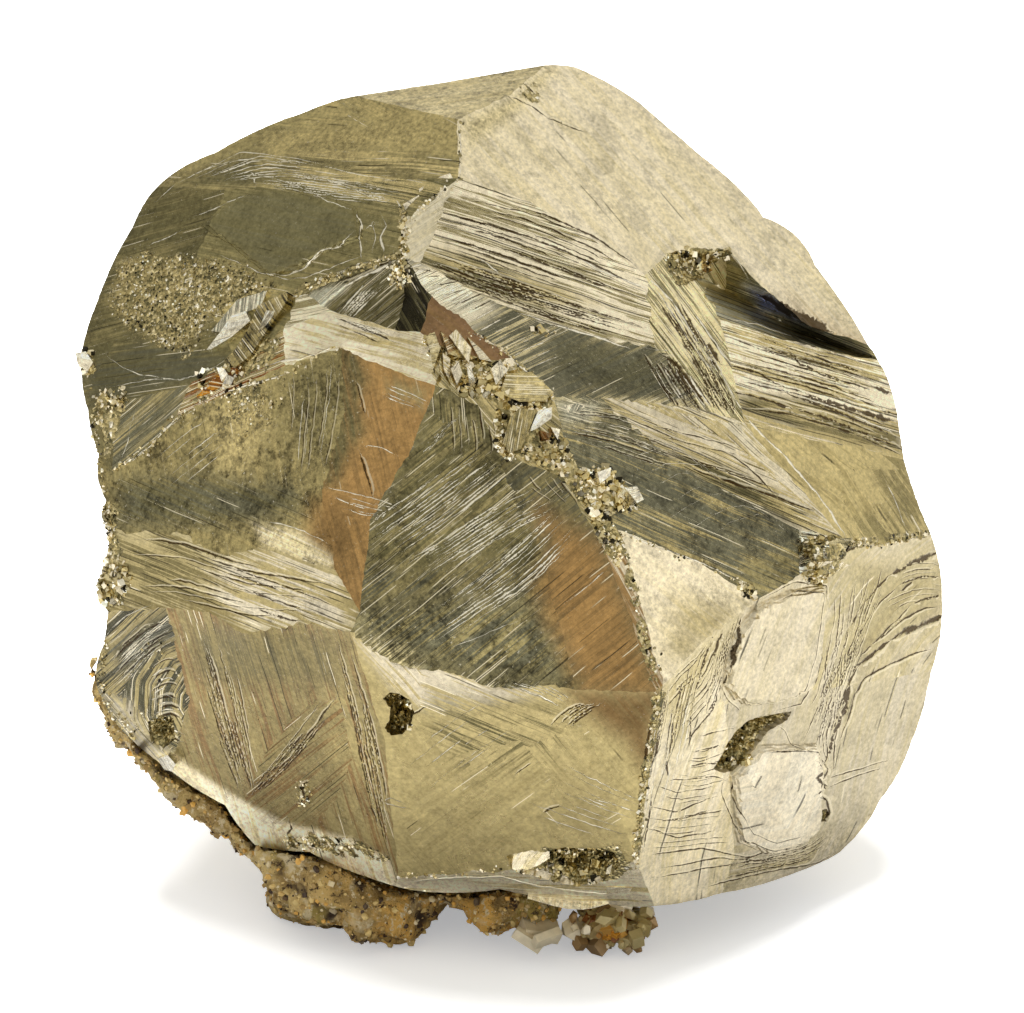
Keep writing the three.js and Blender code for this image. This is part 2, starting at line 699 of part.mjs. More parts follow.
const FRONT_LEDGES = [
  { face: "upper_band", slope: 18, pitch: 0.8, height: 0.24, shorten: 0.22, riser: 1 },
  { face: "silver_band", slope: -26, pitch: 3.0, height: 0.16, shorten: 0.1, riser: 1 },
  { face: "right_band", slope: 17, pitch: 0.86, height: 0.34, shorten: 0.12, riser: 1 },
  { face: "feather_cream", slope: 24, pitch: 1.05, height: 0.2, shorten: 0.25, riser: 1 },
  { face: "right_fan", slope: 38, pitch: 2.0, height: 0.14, shorten: 0.25, riser: 1 },
  { face: "hatched", slope: 52, pitch: 1.25, height: 0.26, shorten: 0.2, riser: -1 },
  { face: "centre", slope: -39, pitch: 1.4, height: 0.16, shorten: 0.35, riser: 1 },
  { face: "left_band", slope: 22, pitch: 1.2, height: 0.26, shorten: 0.25, riser: -1 },
  { face: "lower_left", slope: 72, pitch: 1.9, height: 0.2, shorten: 0.3, riser: 1 },
  { face: "recess_band", slope: 14, pitch: 0.95, height: 0.2, shorten: 0.2, riser: -1 },
  {
    face: "left_copper",
    slope: 14,
    pitch: 0.5,
    height: 0.26,
    shorten: 0.3,
    riser: -1,
    outline: [[322, 485], [350, 492], [402, 505], [380, 520], [360, 522], [340, 515]],
  },
  {
    face: "lower_centre",
    slope: 22,
    pitch: 1.3,
    height: 0.22,
    shorten: 0.35,
    riser: -1,
    outline: [[380, 668], [480, 690], [580, 700], [560, 760], [440, 770], [420, 720]],
  },
  {
    face: "upper_left_rim",
    slope: 8,
    pitch: 0.8,
    height: 0.2,
    shorten: 0.3,
    riser: -1,
    outline: [[170, 185], [250, 150], [350, 172], [440, 165], [400, 192], [250, 175]],
  },
];

const FRONT_PLATES = [
  {
    face: "upper_left_dark",
    outline: [
      [240, 195], [280, 190], [330, 198], [357, 208], [362, 238], [325, 252], [300, 268], [270, 276],
      [240, 252], [205, 226],
    ],
    steps: 2,
    rise: 0.28,
    shrink: 0.07,
  },
  {
    face: "lower_right_top",
    outline: [
      [757, 606], [790, 590], [824, 586], [827, 602], [815, 680], [800, 694], [760, 703], [735, 700],
      [724, 684], [730, 655],
    ],
    steps: 2,
    rise: 0.26,
    shrink: 0.045,
  },
  {
    face: "lower_right_base",
    outline: [[730, 772], [760, 745], [812, 742], [822, 770], [817, 828], [798, 845], [765, 855], [735, 840]],
    steps: 3,
    rise: 0.26,
    shrink: 0.05,
  },
  {
    face: "lower_right_side",
    outline: [
      [898, 636], [925, 620], [936, 618], [934, 655], [925, 690], [908, 738], [880, 785], [838, 800],
      [828, 770], [838, 742], [848, 710], [860, 680], [882, 655],
    ],
    steps: 2,
    rise: 0.3,
    shrink: 0.035,
  },
  {
    face: "lower_right_side",
    outline: [[800, 545], [818, 541], [845, 545], [838, 560], [828, 578], [803, 576]],
    steps: 3,
    rise: 0.34,
    shrink: 0.12,
  },
  {
    face: "lower_right_left",
    outline: [
      [706, 655], [716, 640], [728, 690], [715, 740], [690, 800], [668, 860], [652, 868], [660, 800],
      [676, 740], [694, 690],
    ],
    steps: 2,
    rise: 0.24,
    shrink: 0.06,
  },
];

// Small crystals in the seams, [across, down, radius].
const SEAM_CRYSTALS = [
  [438, 350, 0.8], [456, 364, 0.9], [470, 378, 1.1], [484, 374, 1.0], [480, 392, 1.0], [496, 384, 1.1],
  [507, 398, 1.3], [520, 390, 1.2], [534, 400, 1.2], [524, 412, 1.2], [510, 420, 1.0], [540, 420, 1.2],
  [517, 438, 1.1], [534, 438, 0.9], [556, 453, 0.9], [572, 466, 0.9], [596, 478, 1.1], [610, 486, 1.1],
  [590, 492, 0.9], [604, 503, 1.0], [600, 524, 0.8], [609, 546, 0.7],
];
const GLINT_CRYSTALS = [
  [240, 322, 1.3], [228, 340, 1.1], [268, 318, 1.2], [262, 332, 0.9], [196, 348, 0.9], [230, 374, 1.0],
  [212, 384, 0.8], [404, 212, 0.9], [436, 190, 0.9], [722, 258, 1.0], [700, 262, 1.0], [684, 262, 0.9],
];
const EDGE_CRYSTALS = [
  [112, 572, 1.7], [113, 596, 1.3], [112, 520, 1.0], [92, 368, 1.2], [98, 384, 0.9], [118, 632, 0.8],
];
const GRAIN_PATCH = {
  outline: [
    [125, 262], [170, 257], [205, 256], [240, 267], [275, 286], [262, 302], [238, 308], [214, 322],
    [196, 344], [170, 354], [142, 336], [116, 312], [114, 282],
  ],
  count: 20,
  sizes: [0.32, 0.66],
};

const PITS = [
  {
    outline: [[382, 697], [394, 692], [408, 699], [414, 712], [408, 726], [398, 735], [386, 728]],
    deep: 2.6,
    narrow: 0.4,
  },
  {
    outline: [[508, 858], [530, 851], [560, 849], [592, 848], [614, 852], [604, 868], [560, 874], [524, 872]],
    deep: 2.2,
    narrow: 0.6,
  },
  {
    outline: [[717, 768], [727, 748], [745, 722], [786, 713], [782, 722], [764, 734], [748, 752], [734, 768]],
    deep: 1.8,
    narrow: 0.55,
  },
  { outline: [[818, 812], [828, 812], [827, 821], [819, 820]], deep: 0.9, narrow: 0.5 },
  { outline: [[302, 806], [309, 800], [311, 818], [304, 826]], deep: 0.9, narrow: 0.5 },
  { outline: [[148, 722], [172, 716], [174, 742], [154, 746]], deep: 1.2, narrow: 0.5 },
  { outline: [[122, 578], [130, 577], [132, 587], [124, 589]], deep: 1.0, narrow: 0.6 },
];
const PIT_CRYSTALS = [
  [392, 722, 0.7], [404, 706, 0.6], [518, 864, 1.1], [534, 866, 0.9], [558, 866, 0.9], [580, 862, 0.8],
  [602, 860, 0.9], [736, 758, 0.6], [752, 740, 0.6], [768, 726, 0.5],
];

// Ledges on the large back faces: each runs along a direction and fills an oval patch of the face. They rise
// by turns to one side and the other.
const BACK_PITCH = 1.95;
const BACK_LEDGES = [
  { face: "back", along: [1, 0, -0.12], patch: [13, 9], shift: [-2, -3], height: 0.34 },
  { face: "back_left", along: [0.5, 0.72, -0.4], patch: [9, 9], shift: [0, 1], height: 0.3 },
  { face: "back_right", along: [-0.1, 0.1, 1], patch: [10, 8], shift: [2, 0], height: 0.32 },
  { face: "back_top", along: [0.9, 0.1, -0.1], patch: [11, 7], shift: [3, 1], height: 0.3 },
];

// Crystals intergrown with the back, each a block set in a back face and standing a little proud of it: its
// place on the face, its size along the face, its spin there and how far it tips, in degrees.
const BACK_BLOCKS = [
  { face: "back", place: [-7, 5], size: [14, 12], spin: 24, tip: 7 },
  { face: "back", place: [8, -6], size: [12, 13], spin: 62, tip: -6 },
  { face: "back_top", place: [-4, 1], size: [13, 10], spin: 15, tip: 6 },
  { face: "back_left", place: [3, -5], size: [11, 10], spin: 48, tip: -7 },
  { face: "back_right", place: [-3, 2], size: [10, 12], spin: 10, tip: 6 },
];
const BLOCK_PROUD = 0.5;
const BLOCK_THICK = 9;

// How far relief may stand out of the back, and how much room the other pieces leave, as growth of what they
// meet.
const LEDGE_REACH = 1.02;
const BLOCK_REACH = 1.05;
const ROOM_AT_BODY = 1.018;
const ROOM_AT_CLUSTER = 1.12;
const ROOM_AT_PLATES = 1.2;

function backLedges({ face, along, patch, shift, height }, k) {
  const frame = backFrame(BACK_FACES[face]);
  const line = new THREE.Vector3(...along).projectOnPlane(frame.normal).normalize();
  const across = new THREE.Vector3().crossVectors(frame.normal, line);
  const outline = [];
  for (let i = 0; i < 10; i += 1) {
    const angle = (i / 10) * 2 * Math.PI;
    outline.push(
      frame.middle
        .clone()
        .addScaledVector(line, shift[0] + patch[0] * Math.cos(angle))
        .addScaledVector(across, shift[1] + patch[1] * Math.sin(angle)),
    );
  }
  const riser = k % 2 === 0 ? 1 : -1;
  return ledges({ frame, outline, along: line, pitch: BACK_PITCH, height, shorten: 0.3, riser });
}

function backBlock({ face, place, size, spin, tip }) {
  const { middle, normal } = backFrame(BACK_FACES[face]);
  const box = new THREE.BoxGeometry(...size, BLOCK_THICK);
  box.translate(0, 0, BLOCK_PROUD - BLOCK_THICK / 2);
  box.rotateX(THREE.MathUtils.degToRad(tip));
  box.rotateZ(THREE.MathUtils.degToRad(spin));
  box.translate(...place, 0);
  box.applyQuaternion(new THREE.Quaternion().setFromUnitVectors(new THREE.Vector3(0, 0, 1), normal));
  box.translate(...middle.toArray());
  return solidFromGeometry(box);
}

function grainPatch({ outline, count, sizes }) {
  const places = [];
  const [xs, ys] = [0, 1].map((k) => outline.map((place) => place[k]));
  while (places.length < count) {
    const place = [between(Math.min(...xs), Math.max(...xs)), between(Math.min(...ys), Math.max(...ys))];
    if (isInside(place, outline)) places.push([...place, between(...sizes)]);
  }
  return places.map(([across, down, size]) => {
    const { point, normal } = surfaceAt([across, down]);
    return crystal(point.clone().addScaledVector(normal, -0.2 * size), size, 7);
  });
}

function pyriteCrystal(plain) {
  const backLines = joinAll(BACK_LEDGES.flatMap(backLedges)).intersect(grown(plain, BODY_CENTRE, LEDGE_REACH));
  const blocks = joinAll(BACK_BLOCKS.map(backBlock)).intersect(grown(plain, BODY_CENTRE, BLOCK_REACH));
  const frontRelief = [...FRONT_LEDGES.flatMap(frontLedges), ...FRONT_PLATES.flatMap(plate)];
  let solid = joinAll([plain, backLines, blocks, ...frontRelief]);
  for (const hole of PITS) {
    solid = solid.subtract(pit(hole));
  }
  solid = joinAll([
    solid,
    ...setCrystals(SEAM_CRYSTALS),
    ...setCrystals(GLINT_CRYSTALS),
    ...setCrystals(EDGE_CRYSTALS, 0.1),
    ...setCrystals(PIT_CRYSTALS, 1.6),
    ...grainPatch(GRAIN_PATCH),
  ]);
  return mainPiece(solid);
}

// The largest of a solid's separate pieces, without the crumbs that a cut leaves.
function mainPiece(solid) {
  return solid.decompose().reduce((main, piece) => (piece.volume() > main.volume() ? piece : main));
}

// The matrix: lumps along the lower left edge, each the place it reaches out to, its depth and its radius,
// and lumps under the body, [x and y from the body's centre, z, radius, height].
const RIM_LUMPS = [
  [91, 682, -0.5, 1.7], [91, 702, -1.2, 1.9], [104, 731, -2.4, 2.4], [126, 755, -2.8, 2.6],
  [150, 784, -3.0, 2.7], [178, 810, -3.0, 2.8], [205, 830, -2.8, 2.8], [230, 850, -2.4, 3.0],
  [256, 874, -1.4, 3.1], [283, 898, -0.4, 3.3], [316, 924, 0.2, 3.5], [355, 938, 0.4, 3.4],
  [384, 945, 0.5, 2.9], [410, 925, 0.2, 2.0], [456, 909, 1.2, 1.8],
  [496, 934, 1.8, 2.4], [534, 932, 1.6, 2.2],
];
const UNDER_LUMPS = [
  [-12.5, -7.5, 2.8, 5.2, 4.8], [-4, -2, 2.2, 6.6, 4.6], [-11, 0, 3.4, 7.0, 5.5], [-5, 3, 2.4, 7.6, 5.0],
  [2, 0, 2.0, 6.4, 4.4], [-17, -5, 8.5, 4.4, 5.0], [3, -8, 3.2, 3.6, 2.6], [1, 7, 2.6, 5.4, 4.4],
];

function keepAbove(solid, height) {
  const SIZE = 200;
  const block = new THREE.BoxGeometry(SIZE, SIZE, SIZE);
  block.translate(0, 0, height - SIZE / 2);
  return solid.subtract(solidFromGeometry(block));
}

function matrixCrust(plain, neighbours) {
  const lumps = [
    ...RIM_LUMPS.map(rimLump),
    ...UNDER_LUMPS.map(([x, y, z, size, tall], i) =>
      lump(new THREE.Vector3(BODY_CENTRE.x + x, BODY_CENTRE.y + y, z), [size, size, tall], 5 + i * 2.3),
    ),
  ];
  let solid = joinAll(lumps).subtract(grown(plain, BODY_CENTRE, ROOM_AT_BODY));
  for (const neighbour of neighbours) {
    solid = solid.subtract(neighbour);
  }
  return mainPiece(keepAbove(solid, 0));
}

// The orange-centred cluster under the front edge, [across, down, depth, radius], and the pale plates by it.
const CLUSTER = [
  [600, 926, 3.6, 1.5], [584, 934, 3.4, 1.2], [618, 926, 3.6, 1.4], [637, 920, 3.2, 1.3],
  [612, 945, 2.6, 1.3], [590, 945, 2.6, 1.1], [632, 936, 2.8, 1.1], [606, 932, 0.5, 2.2],
];
const PLATES = [
  { middle: [528, 940, 4.5], size: [2.2, 0.5, 0.8], turn: [0.2, 0.5, -0.3] },
  { middle: [547, 938, 5.0], size: [2.0, 0.6, 1.0], turn: [0.5, 0.2, 0.5] },
  { middle: [540, 930, 3.5], size: [2.6, 1.6, 0.9], turn: [0.1, 0.3, 0.2] },
];

const CLUSTER_MIDDLE = spot([610, 928, 3]);
const PLATES_MIDDLE = spot([538, 936, 4.2]);

function baseCluster(plain) {
  const stones = CLUSTER.map(([across, down, depth, size]) => crystal(spot([across, down, depth]), size, 8));
  return mainPiece(keepAbove(joinAll(stones).subtract(grown(plain, BODY_CENTRE, ROOM_AT_BODY)), 0));
}

function basePlates(plain) {
  const plates = PLATES.map(({ middle, size, turn }) => {
    const box = new THREE.BoxGeometry(...size);
    box.applyQuaternion(new THREE.Quaternion().setFromEuler(new THREE.Euler(...turn)));
    box.translate(...spot(middle).toArray());
    return solidFromGeometry(box);
  });
  return mainPiece(joinAll(plates).subtract(grown(plain, BODY_CENTRE, ROOM_AT_BODY)));
}

const PYRITE = new THREE.MeshStandardMaterial({ color: 0xc9b98a, roughness: 0.3, metalness: 1 });
const MATRIX = new THREE.MeshStandardMaterial({ color: 0x7a5c38, roughness: 0.9, metalness: 0 });
const PALE_PLATE = new THREE.MeshStandardMaterial({ color: 0xcdc08e, roughness: 0.35, metalness: 0.9 });
const CLUSTER_STONE = new THREE.MeshStandardMaterial({ color: 0xa9854a, roughness: 0.45, metalness: 0.4 });

function addPiece(group, name, solid, material) {
  const piece = new THREE.Mesh(geometryFromSolid(solid), material);
  piece.name = name;
  group.add(piece);
}

const plain = plainBody();
const cluster = baseCluster(plain);
const clusterRoom = grown(cluster, CLUSTER_MIDDLE, ROOM_AT_CLUSTER);
const plates = mainPiece(basePlates(plain).subtract(clusterRoom));
const platesRoom = grown(plates, PLATES_MIDDLE, ROOM_AT_PLATES);

const specimen = new THREE.Group();
addPiece(specimen, "pyrite_crystal", pyriteCrystal(plain), PYRITE);
addPiece(specimen, "matrix_crust", matrixCrust(plain, [clusterRoom, platesRoom]), MATRIX);
addPiece(specimen, "base_cluster", cluster, CLUSTER_STONE);
addPiece(specimen, "base_plates", plates, PALE_PLATE);

export default specimen;
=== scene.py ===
import math

import bmesh
import bpy
import numpy as np
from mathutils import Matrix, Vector, geometry, kdtree, noise


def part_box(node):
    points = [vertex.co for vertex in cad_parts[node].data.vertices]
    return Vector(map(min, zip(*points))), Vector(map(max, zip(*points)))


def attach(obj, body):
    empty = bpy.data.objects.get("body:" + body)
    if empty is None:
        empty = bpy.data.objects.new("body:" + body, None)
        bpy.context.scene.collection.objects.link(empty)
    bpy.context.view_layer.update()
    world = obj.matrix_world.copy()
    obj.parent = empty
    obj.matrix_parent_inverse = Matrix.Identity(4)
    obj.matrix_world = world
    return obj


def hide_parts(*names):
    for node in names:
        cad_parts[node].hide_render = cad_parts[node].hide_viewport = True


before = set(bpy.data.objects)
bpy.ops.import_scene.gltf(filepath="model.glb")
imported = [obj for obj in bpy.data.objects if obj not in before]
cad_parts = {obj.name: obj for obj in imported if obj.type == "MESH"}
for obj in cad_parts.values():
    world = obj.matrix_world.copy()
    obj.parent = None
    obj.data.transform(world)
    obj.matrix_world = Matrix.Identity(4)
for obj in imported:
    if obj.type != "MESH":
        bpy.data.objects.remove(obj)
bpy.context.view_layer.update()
random = np.random.default_rng(4711)

MM = 0.001
REAL_WIDTH = 60.4
SEEN_WIDTH = 865
MM_PER_UNIT = REAL_WIDTH / SEEN_WIDTH
VIEW_CENTRE = np.array([512.0, 506.5])
VIEW_DISTANCE = 420.0
SPECIMEN_BOX = (70.0, 58.0, 950.0, 915.0)
VIEW_ELEVATION = math.radians(25)
BODY_CENTRE = np.array([0.11, -0.53, 27.4])
RIGHT = np.array([1.0, 0.0, 0.0])
UP = np.array([0.0, math.sin(VIEW_ELEVATION), math.cos(VIEW_ELEVATION)])
TOWARD = np.array([0.0, -math.cos(VIEW_ELEVATION), math.sin(VIEW_ELEVATION)])
SENSOR_WIDTH = 36.0
PICTURE_WIDTH = 1024

# Corners of the front faces: across, down, and depth toward the viewer in millimetres.
OUTLINE_CORNERS = {
    "oA1": (80, 360, 5), "oA2": (97, 302, 4), "oA3": (132, 228, 3), "oA4": (157, 187, 3),
    "oA5": (215, 153, 3), "oA6": (300, 114, 4), "oA7": (355, 96, 5), "oT1": (440, 83, 4),
    "oT2": (545, 65, 2.5), "oB1": (575, 67, 2), "oB2": (640, 103, 1.5), "oB3": (700, 155, 1.8),
    "oB4": (757, 208, 2), "oB5": (763, 217, 1.8), "oB6": (815, 265, 2.2), "oB7": (868, 345, 4),
    "oG0": (878, 360, 0.3), "oG1": (888, 380, -1), "oG2": (898, 420, -1.5), "oG3": (904, 460, -2),
    "oG4": (930, 532, -3), "oJ1": (942, 600, -3.5), "oJ2": (931, 672, -3.5), "oJ3": (912, 740, -3),
    "oJ4": (880, 800, -2.5), "oJ5": (840, 852, -1.5), "oJ6": (800, 871, 0), "oJ7": (722, 893, 3),
    "oQ1": (655, 906, 5), "oQ2": (600, 903, 6), "oQ3": (500, 889, 6.5), "oQ4": (430, 892, 5),
    "oQ5": (395, 886, 5), "oO1": (310, 852, 5), "oO2": (255, 845, 2.5), "oO3": (225, 805, 2),
    "oO4": (170, 770, 1), "oO5": (120, 728, 1), "oO6": (98, 690, 1.5), "oO7": (104, 645, 3),
    "oN1": (108, 612, 4), "oN2": (106, 565, 4), "oN3": (110, 530, 5), "oM1": (106, 500, 5),
    "oM2": (99, 455, 4), "oM3": (88, 410, 4),
}
INNER_CORNERS = {
    "aT": (458, 120, 11), "aM1": (225, 190, 9), "aM2": (345, 182, 13), "aM4": (190, 275, 9),
    "aL1": (300, 290, 14.5), "aL2": (283, 330, 14), "aL3": (235, 358, 11.5), "aL4": (190, 385, 9.5),
    "aL5": (115, 403, 6.5), "bS": (512, 94, 6.5), "pA": (458, 178, 14), "pB": (405, 220, 16),
    "pC": (403, 258, 17.5), "c2": (530, 202, 13), "c3": (600, 245, 11.5), "c4": (645, 275, 10.5),
    "c5": (420, 262, 17.5), "c6": (480, 295, 16.5), "c7": (540, 322, 15), "c8": (600, 338, 13.5),
    "c9": (655, 348, 12), "d1": (432, 296, 18.5), "d2": (470, 325, 18.5), "d3": (512, 360, 18),
    "d4": (553, 396, 17), "d5": (700, 408, 12), "d6": (640, 402, 14.3), "h3": (690, 385, 11.5),
    "n1": (668, 253, 8.5), "n2": (697, 275, 8), "n3": (720, 320, 9.8), "n4": (728, 250, 5.5),
    "n5": (761, 286, 5), "n6": (808, 325, 4.5), "nF1": (725, 290, 3.5), "nF2": (800, 331, 0.5),
    "g0": (745, 423, 9.5), "g2": (780, 340, 6.3), "e0": (572, 470, 20), "e1": (600, 398, 15.2),
    "e2": (650, 440, 14.5), "e3": (690, 472, 13.5), "e4": (740, 500, 12.8), "e5": (800, 530, 11),
    "e6": (845, 540, 6.5), "e7": (800, 575, 12), "k1": (618, 530, 20), "k2": (700, 562, 17),
    "k3": (758, 600, 14.5), "k4": (705, 640, 17), "k5": (663, 685, 19), "kK": (650, 635, 19.8),
    "jA": (830, 598, 9), "jB": (812, 690, 9.5), "jC": (725, 705, 15), "jG": (735, 855, 6),
    "j5": (880, 545, 2.5), "rA": (330, 310, 14), "rB": (405, 298, 15), "rC": (395, 330, 16),
    "rD": (440, 348, 19.5), "rE": (420, 332, 17), "rF": (490, 360, 19), "mT1": (435, 385, 22.5),
    "mT2": (365, 360, 20), "mT3": (342, 348, 18.8), "mT4": (285, 365, 16), "mT5": (240, 386, 14),
    "mT6": (175, 418, 11.5), "mT7": (140, 455, 10), "mT8": (112, 472, 7.5), "mM1": (343, 420, 19.5),
    "mM2": (322, 490, 18.5), "lT2": (478, 405, 21.5), "lT3": (500, 455, 22), "lT4": (560, 475, 21.3),
    "lT5": (602, 545, 20.5), "lR": (630, 615, 20.8), "lM": (548, 575, 22.5), "lL1": (413, 445, 22.8),
    "lL2": (370, 520, 21.5), "lB0": (350, 632, 20.5), "lB1": (380, 655, 21), "lB2": (480, 684, 21.3),
    "lB3": (575, 690, 20.5), "lB4": (655, 692, 19.3), "nR": (360, 612, 21), "nT1": (185, 535, 12),
    "nT2": (215, 558, 14), "nT3": (260, 548, 16.5), "nT4": (335, 570, 20), "nB1": (165, 608, 9.5),
    "nB2": (205, 612, 12.5), "nB3": (250, 635, 15.5), "nB4": (300, 622, 18.5), "oM": (190, 700, 9),
    "pO": (385, 740, 15.5), "p0": (398, 878, 7), "p1": (505, 870, 9), "p4": (636, 862, 9.5),
}
# Front faces, each a ring of corners.
FACES = {
    "upper_left_rim": "oA4 oA5 oA6 oA7 aT pA aM2 aM1",
    "upper_left_dark": "aM1 aM2 pA pB pC aL1 aL2 aL3 aM4",
    "upper_left_edge": "oM3 oA1 oA2 oA3 oA4 aM1 aM4 aL3 aL4 aL5",
    "top_sliver": "oA7 oT1 oT2 bS aT",
    "top_cream": "aT bS oT2 oB1 oB2 oB3 oB4 oB5 oB6 oB7 n6 n5 n4 n1 c4 c3 c2 pA",
    "pale_corner": "pA c5 pC pB",
    "upper_band": "pA c2 c3 c4 c9 c8 c7 c6 c5",
    "silver_band": "pC c5 c6 c7 c8 c9 h3 d5 d6 e1 d4 d3 d2 d1",
    "hatched": "c4 n1 n2 n3 g0 d5 h3 c9",
    "notch_rim": "n1 n4 nF1 n2",
    "notch_wall": "n4 n5 n6 oB7 oG0 nF2 nF1",
    "notch_floor": "n2 nF1 nF2 oG0 g2 n3",
    "right_band": "n3 g2 oG0 oG1 oG2 oG3 g0",
    "right_fan": "g0 oG3 oG4 j5 e6",
    "feather_cream": "e1 d6 d5 g0 e6 e5 e4 e3 e2",
    "slate": "d4 e1 e2 e3 e4 e5 e7 k3 k2 k1 e0",
    "ledge_step": "e5 e6 e7",
    "small_cream": "k1 k2 k3 k4 k5 kK",
    "brown_edge": "lT5 k1 kK k5 lB4 lR",
    "lower_right_top": "k3 e7 jA jB jC k4",
    "lower_right_side": "e7 e6 j5 oG4 oJ1 oJ2 jB jA",
    "lower_right_left": "k5 k4 jC jG oJ7 oQ1 p4",
    "lower_right_base": "jC jB oJ2 oJ3 oJ4 oJ5 oJ6 oJ7 jG",
    "left_olive": "oM3 aL5 mT8 oM2",
    "left_purple": "aL5 aL4 mT6 mT7 mT8",
    "crevice": "aL4 aL3 aL2 mT4 mT5 mT6",
    "recess_side": "aL2 aL1 rA",
    "recess_wall": "aL1 pC rB rC rA",
    "recess_dark": "pC d1 rE rC rB",
    "recess_brown": "d1 d2 d3 rF rD rE",
    "recess_band": "aL2 rA rC rE rD mT1 mT2 mT3 mT4",
    "seam_upper": "rD rF d3 d4 lT3 lT2 mT1",
    "seam_lower": "d4 e0 k1 lT5 lT4 lT3",
    "left_front": "mT8 mT7 mT6 mT5 mT4 mT3 mM1 mM2 nT4 nT3 nT2 nT1 oN3 oM1 oM2",
    "left_copper": "mT3 mT2 mT1 lL1 lL2 nR nT4 mM2 mM1",
    "left_band": "oN3 nT1 nT2 nT3 nT4 nR lB0 nB4 nB3 nB2 nB1 oN1 oN2",
    "centre": "mT1 lT2 lT3 lM lB3 lB2 lB1 lB0 nR lL2 lL1",
    "centre_copper": "lT3 lT4 lT5 lR lB4 lB3 lM",
    "lower_left_arc": "oO7 oN1 nB1 oM oO4 oO5 oO6",
    "lower_left": "nB1 nB2 nB3 nB4 lB0 pO p0 oQ5 oO1 oO2 oO3 oO4 oM",
    "lower_centre": "lB0 lB1 lB2 lB3 p4 p1 p0 pO",
    "lower_centre_side": "lB3 lB4 k5 p4",
    "underside_bevel": "p0 p1 p4 oQ1 oQ2 oQ3 oQ4 oQ5",
}
CORNERS = {**OUTLINE_CORNERS, **INNER_CORNERS}
HELD_CORNERS = "nF1 nF2 rA rB rC rE aL2 aL3 n4 n5 n6 oB7 oG0 g2 n3".split()
RINGS = {face: names.split() for face, names in FACES.items()}

# The back: rings behind the outline (depth, size), then the faces that cut them (outward direction, reach).
BACK_RINGS = [(-9, 0.985), (-18, 0.9), (-25, 0.66)]
TAIL_DEPTH = -29
BACK_FACES = {
    "back": ((0.12, 0.98, 0.16), 21.4),
    "back_top": ((-0.12, 0.72, 0.68), 23.6),
    "back_left": ((-0.8, 0.58, 0.14), 24.4),
    "back_right": ((0.82, 0.56, 0.08), 24.8),
    "back_low": ((0.08, 0.74, -0.67), 20.6),
    "low_left": ((-0.62, 0.42, -0.66), 22.5),
    "low_right": ((0.6, 0.34, -0.72), 22.5),
    "top_left": ((-0.6, 0.38, 0.7), 25.6),
    "top_right": ((0.52, 0.46, 0.72), 25.2),
    "underside": ((0.02, -0.04, -1), 21.6),
}

# How far apart the points of the mesh are: on the front, along its edges and in its pits in units of the
# view, and on the back in millimetres.
FRONT_STEP = 3.6
EDGE_STEP = 4.0
PIT_STEP = 1.7
BACK_STEP = 1.0
LINE_STEP = 5.0
PIT_RIM_STEP = 2.5
# How far the points stray from their even places, as a share of the step, and in pits in units of the view.
FRONT_JITTER = 0.22
PIT_JITTER = 0.5
# How close a scattered point may come to a line of the mesh, and to the rim of a pit.
LINE_GAP = 1.4
PIT_RIM_GAP = 1.2
# How far the edges between faces stray from straight, in units of the view.
RIM_ROUGH = 0.25
EDGE_ROUGH = 0.9
LINE_ROUGH = 0.5
PIT_RIM_ROUGH = 0.5
PLATE_ROUGH = 0.8
PLATE_ROUGH_MORE = 0.5
# The bends of an edge: waves along it and the size of each.
BENDS = ((2, 1.0), (5, 0.7), (11, 0.45))
# How far the silhouette curves outward between its corners, as a share of the length.
RIM_BULGE = 0.03
RIM_BULGES = {
    "oA7 oT1": 0.0, "oT1 oT2": 0.0, "oB2 oB3": 0.0, "oB5 oB6": 0.12, "oB6 oB7": 0.02, "oG2 oG3": 0.0,
    "oG3 oG4": -0.02, "oG4 oJ1": 0.05, "oJ1 oJ2": 0.05, "oJ3 oJ4": 0.05, "oJ4 oJ5": 0.05, "oO5 oO6": 0.04,
    "oO7 oN1": 0.0, "oM1 oM2": 0.1, "oN3 oM1": 0.12, "oN2 oN3": 0.0, "oN1 oN2": 0.14, "oO6 oO7": 0.1,
    "oM2 oM3": 0.04, "oM3 oA1": 0.03, "oA3 oA4": 0.05, "oA4 oA5": 0.06,
}
ROUGH_EDGES = {
    3.0: "aM1-aM4 c4-c9",
    2.5: "h3-c9 d5-h3 aL2-aL3 aL3-aL4",
    2.4: "nT3-nT4 lT3-lM lM-lB3 lB1-lB2 lB2-lB3 e1-e2",
    2.2: "mM1-mM2 jA-jB jB-jC n2-n3",
    2.0: "aL1-aL2 rD-mT1 mT3-mM1 nT1-nT2 nT2-nT3 nB3-nB4 lB0-lB1 e2-e3 n1-n2 nB1-oM oM-oO4",
    1.8: "pA-pB pB-pC mT5-mT6 mM2-nT4 nT1-oN3 nB2-nB3 e3-e4 d4-e1 e5-e6",
    1.6: "aL4-aL5 pC-aL1 c5-pA d2-d3 d3-d4 mT4-mT5 mT6-mT7 k3-k4 n1-n4 p1-p4 d6-e1 e6-e7 e5-e7",
    1.4: "mT3-mT4 lL1-lL2 p0-p1 lB3-lB4",
    1.2: "d1-d2",
}
ROUGHNESS = {edge: rough for rough, edges in ROUGH_EDGES.items() for edge in edges.split()}


def trace(text):
    """Places in the view from a text of pairs."""
    return np.array([pair.split(",") for pair in text.split()], float)


def unit(vector):
    vector = np.asarray(vector, float)
    return vector / np.linalg.norm(vector)


def unit_rows(vectors):
    return vectors / np.maximum(np.linalg.norm(vectors, axis=1), 1e-12)[:, None]


def facing(points, triangles):
    """The outward direction of every triangle, as long as twice its area."""
    tri = points[triangles]
    return np.cross(tri[:, 1] - tri[:, 0], tri[:, 2] - tri[:, 0])


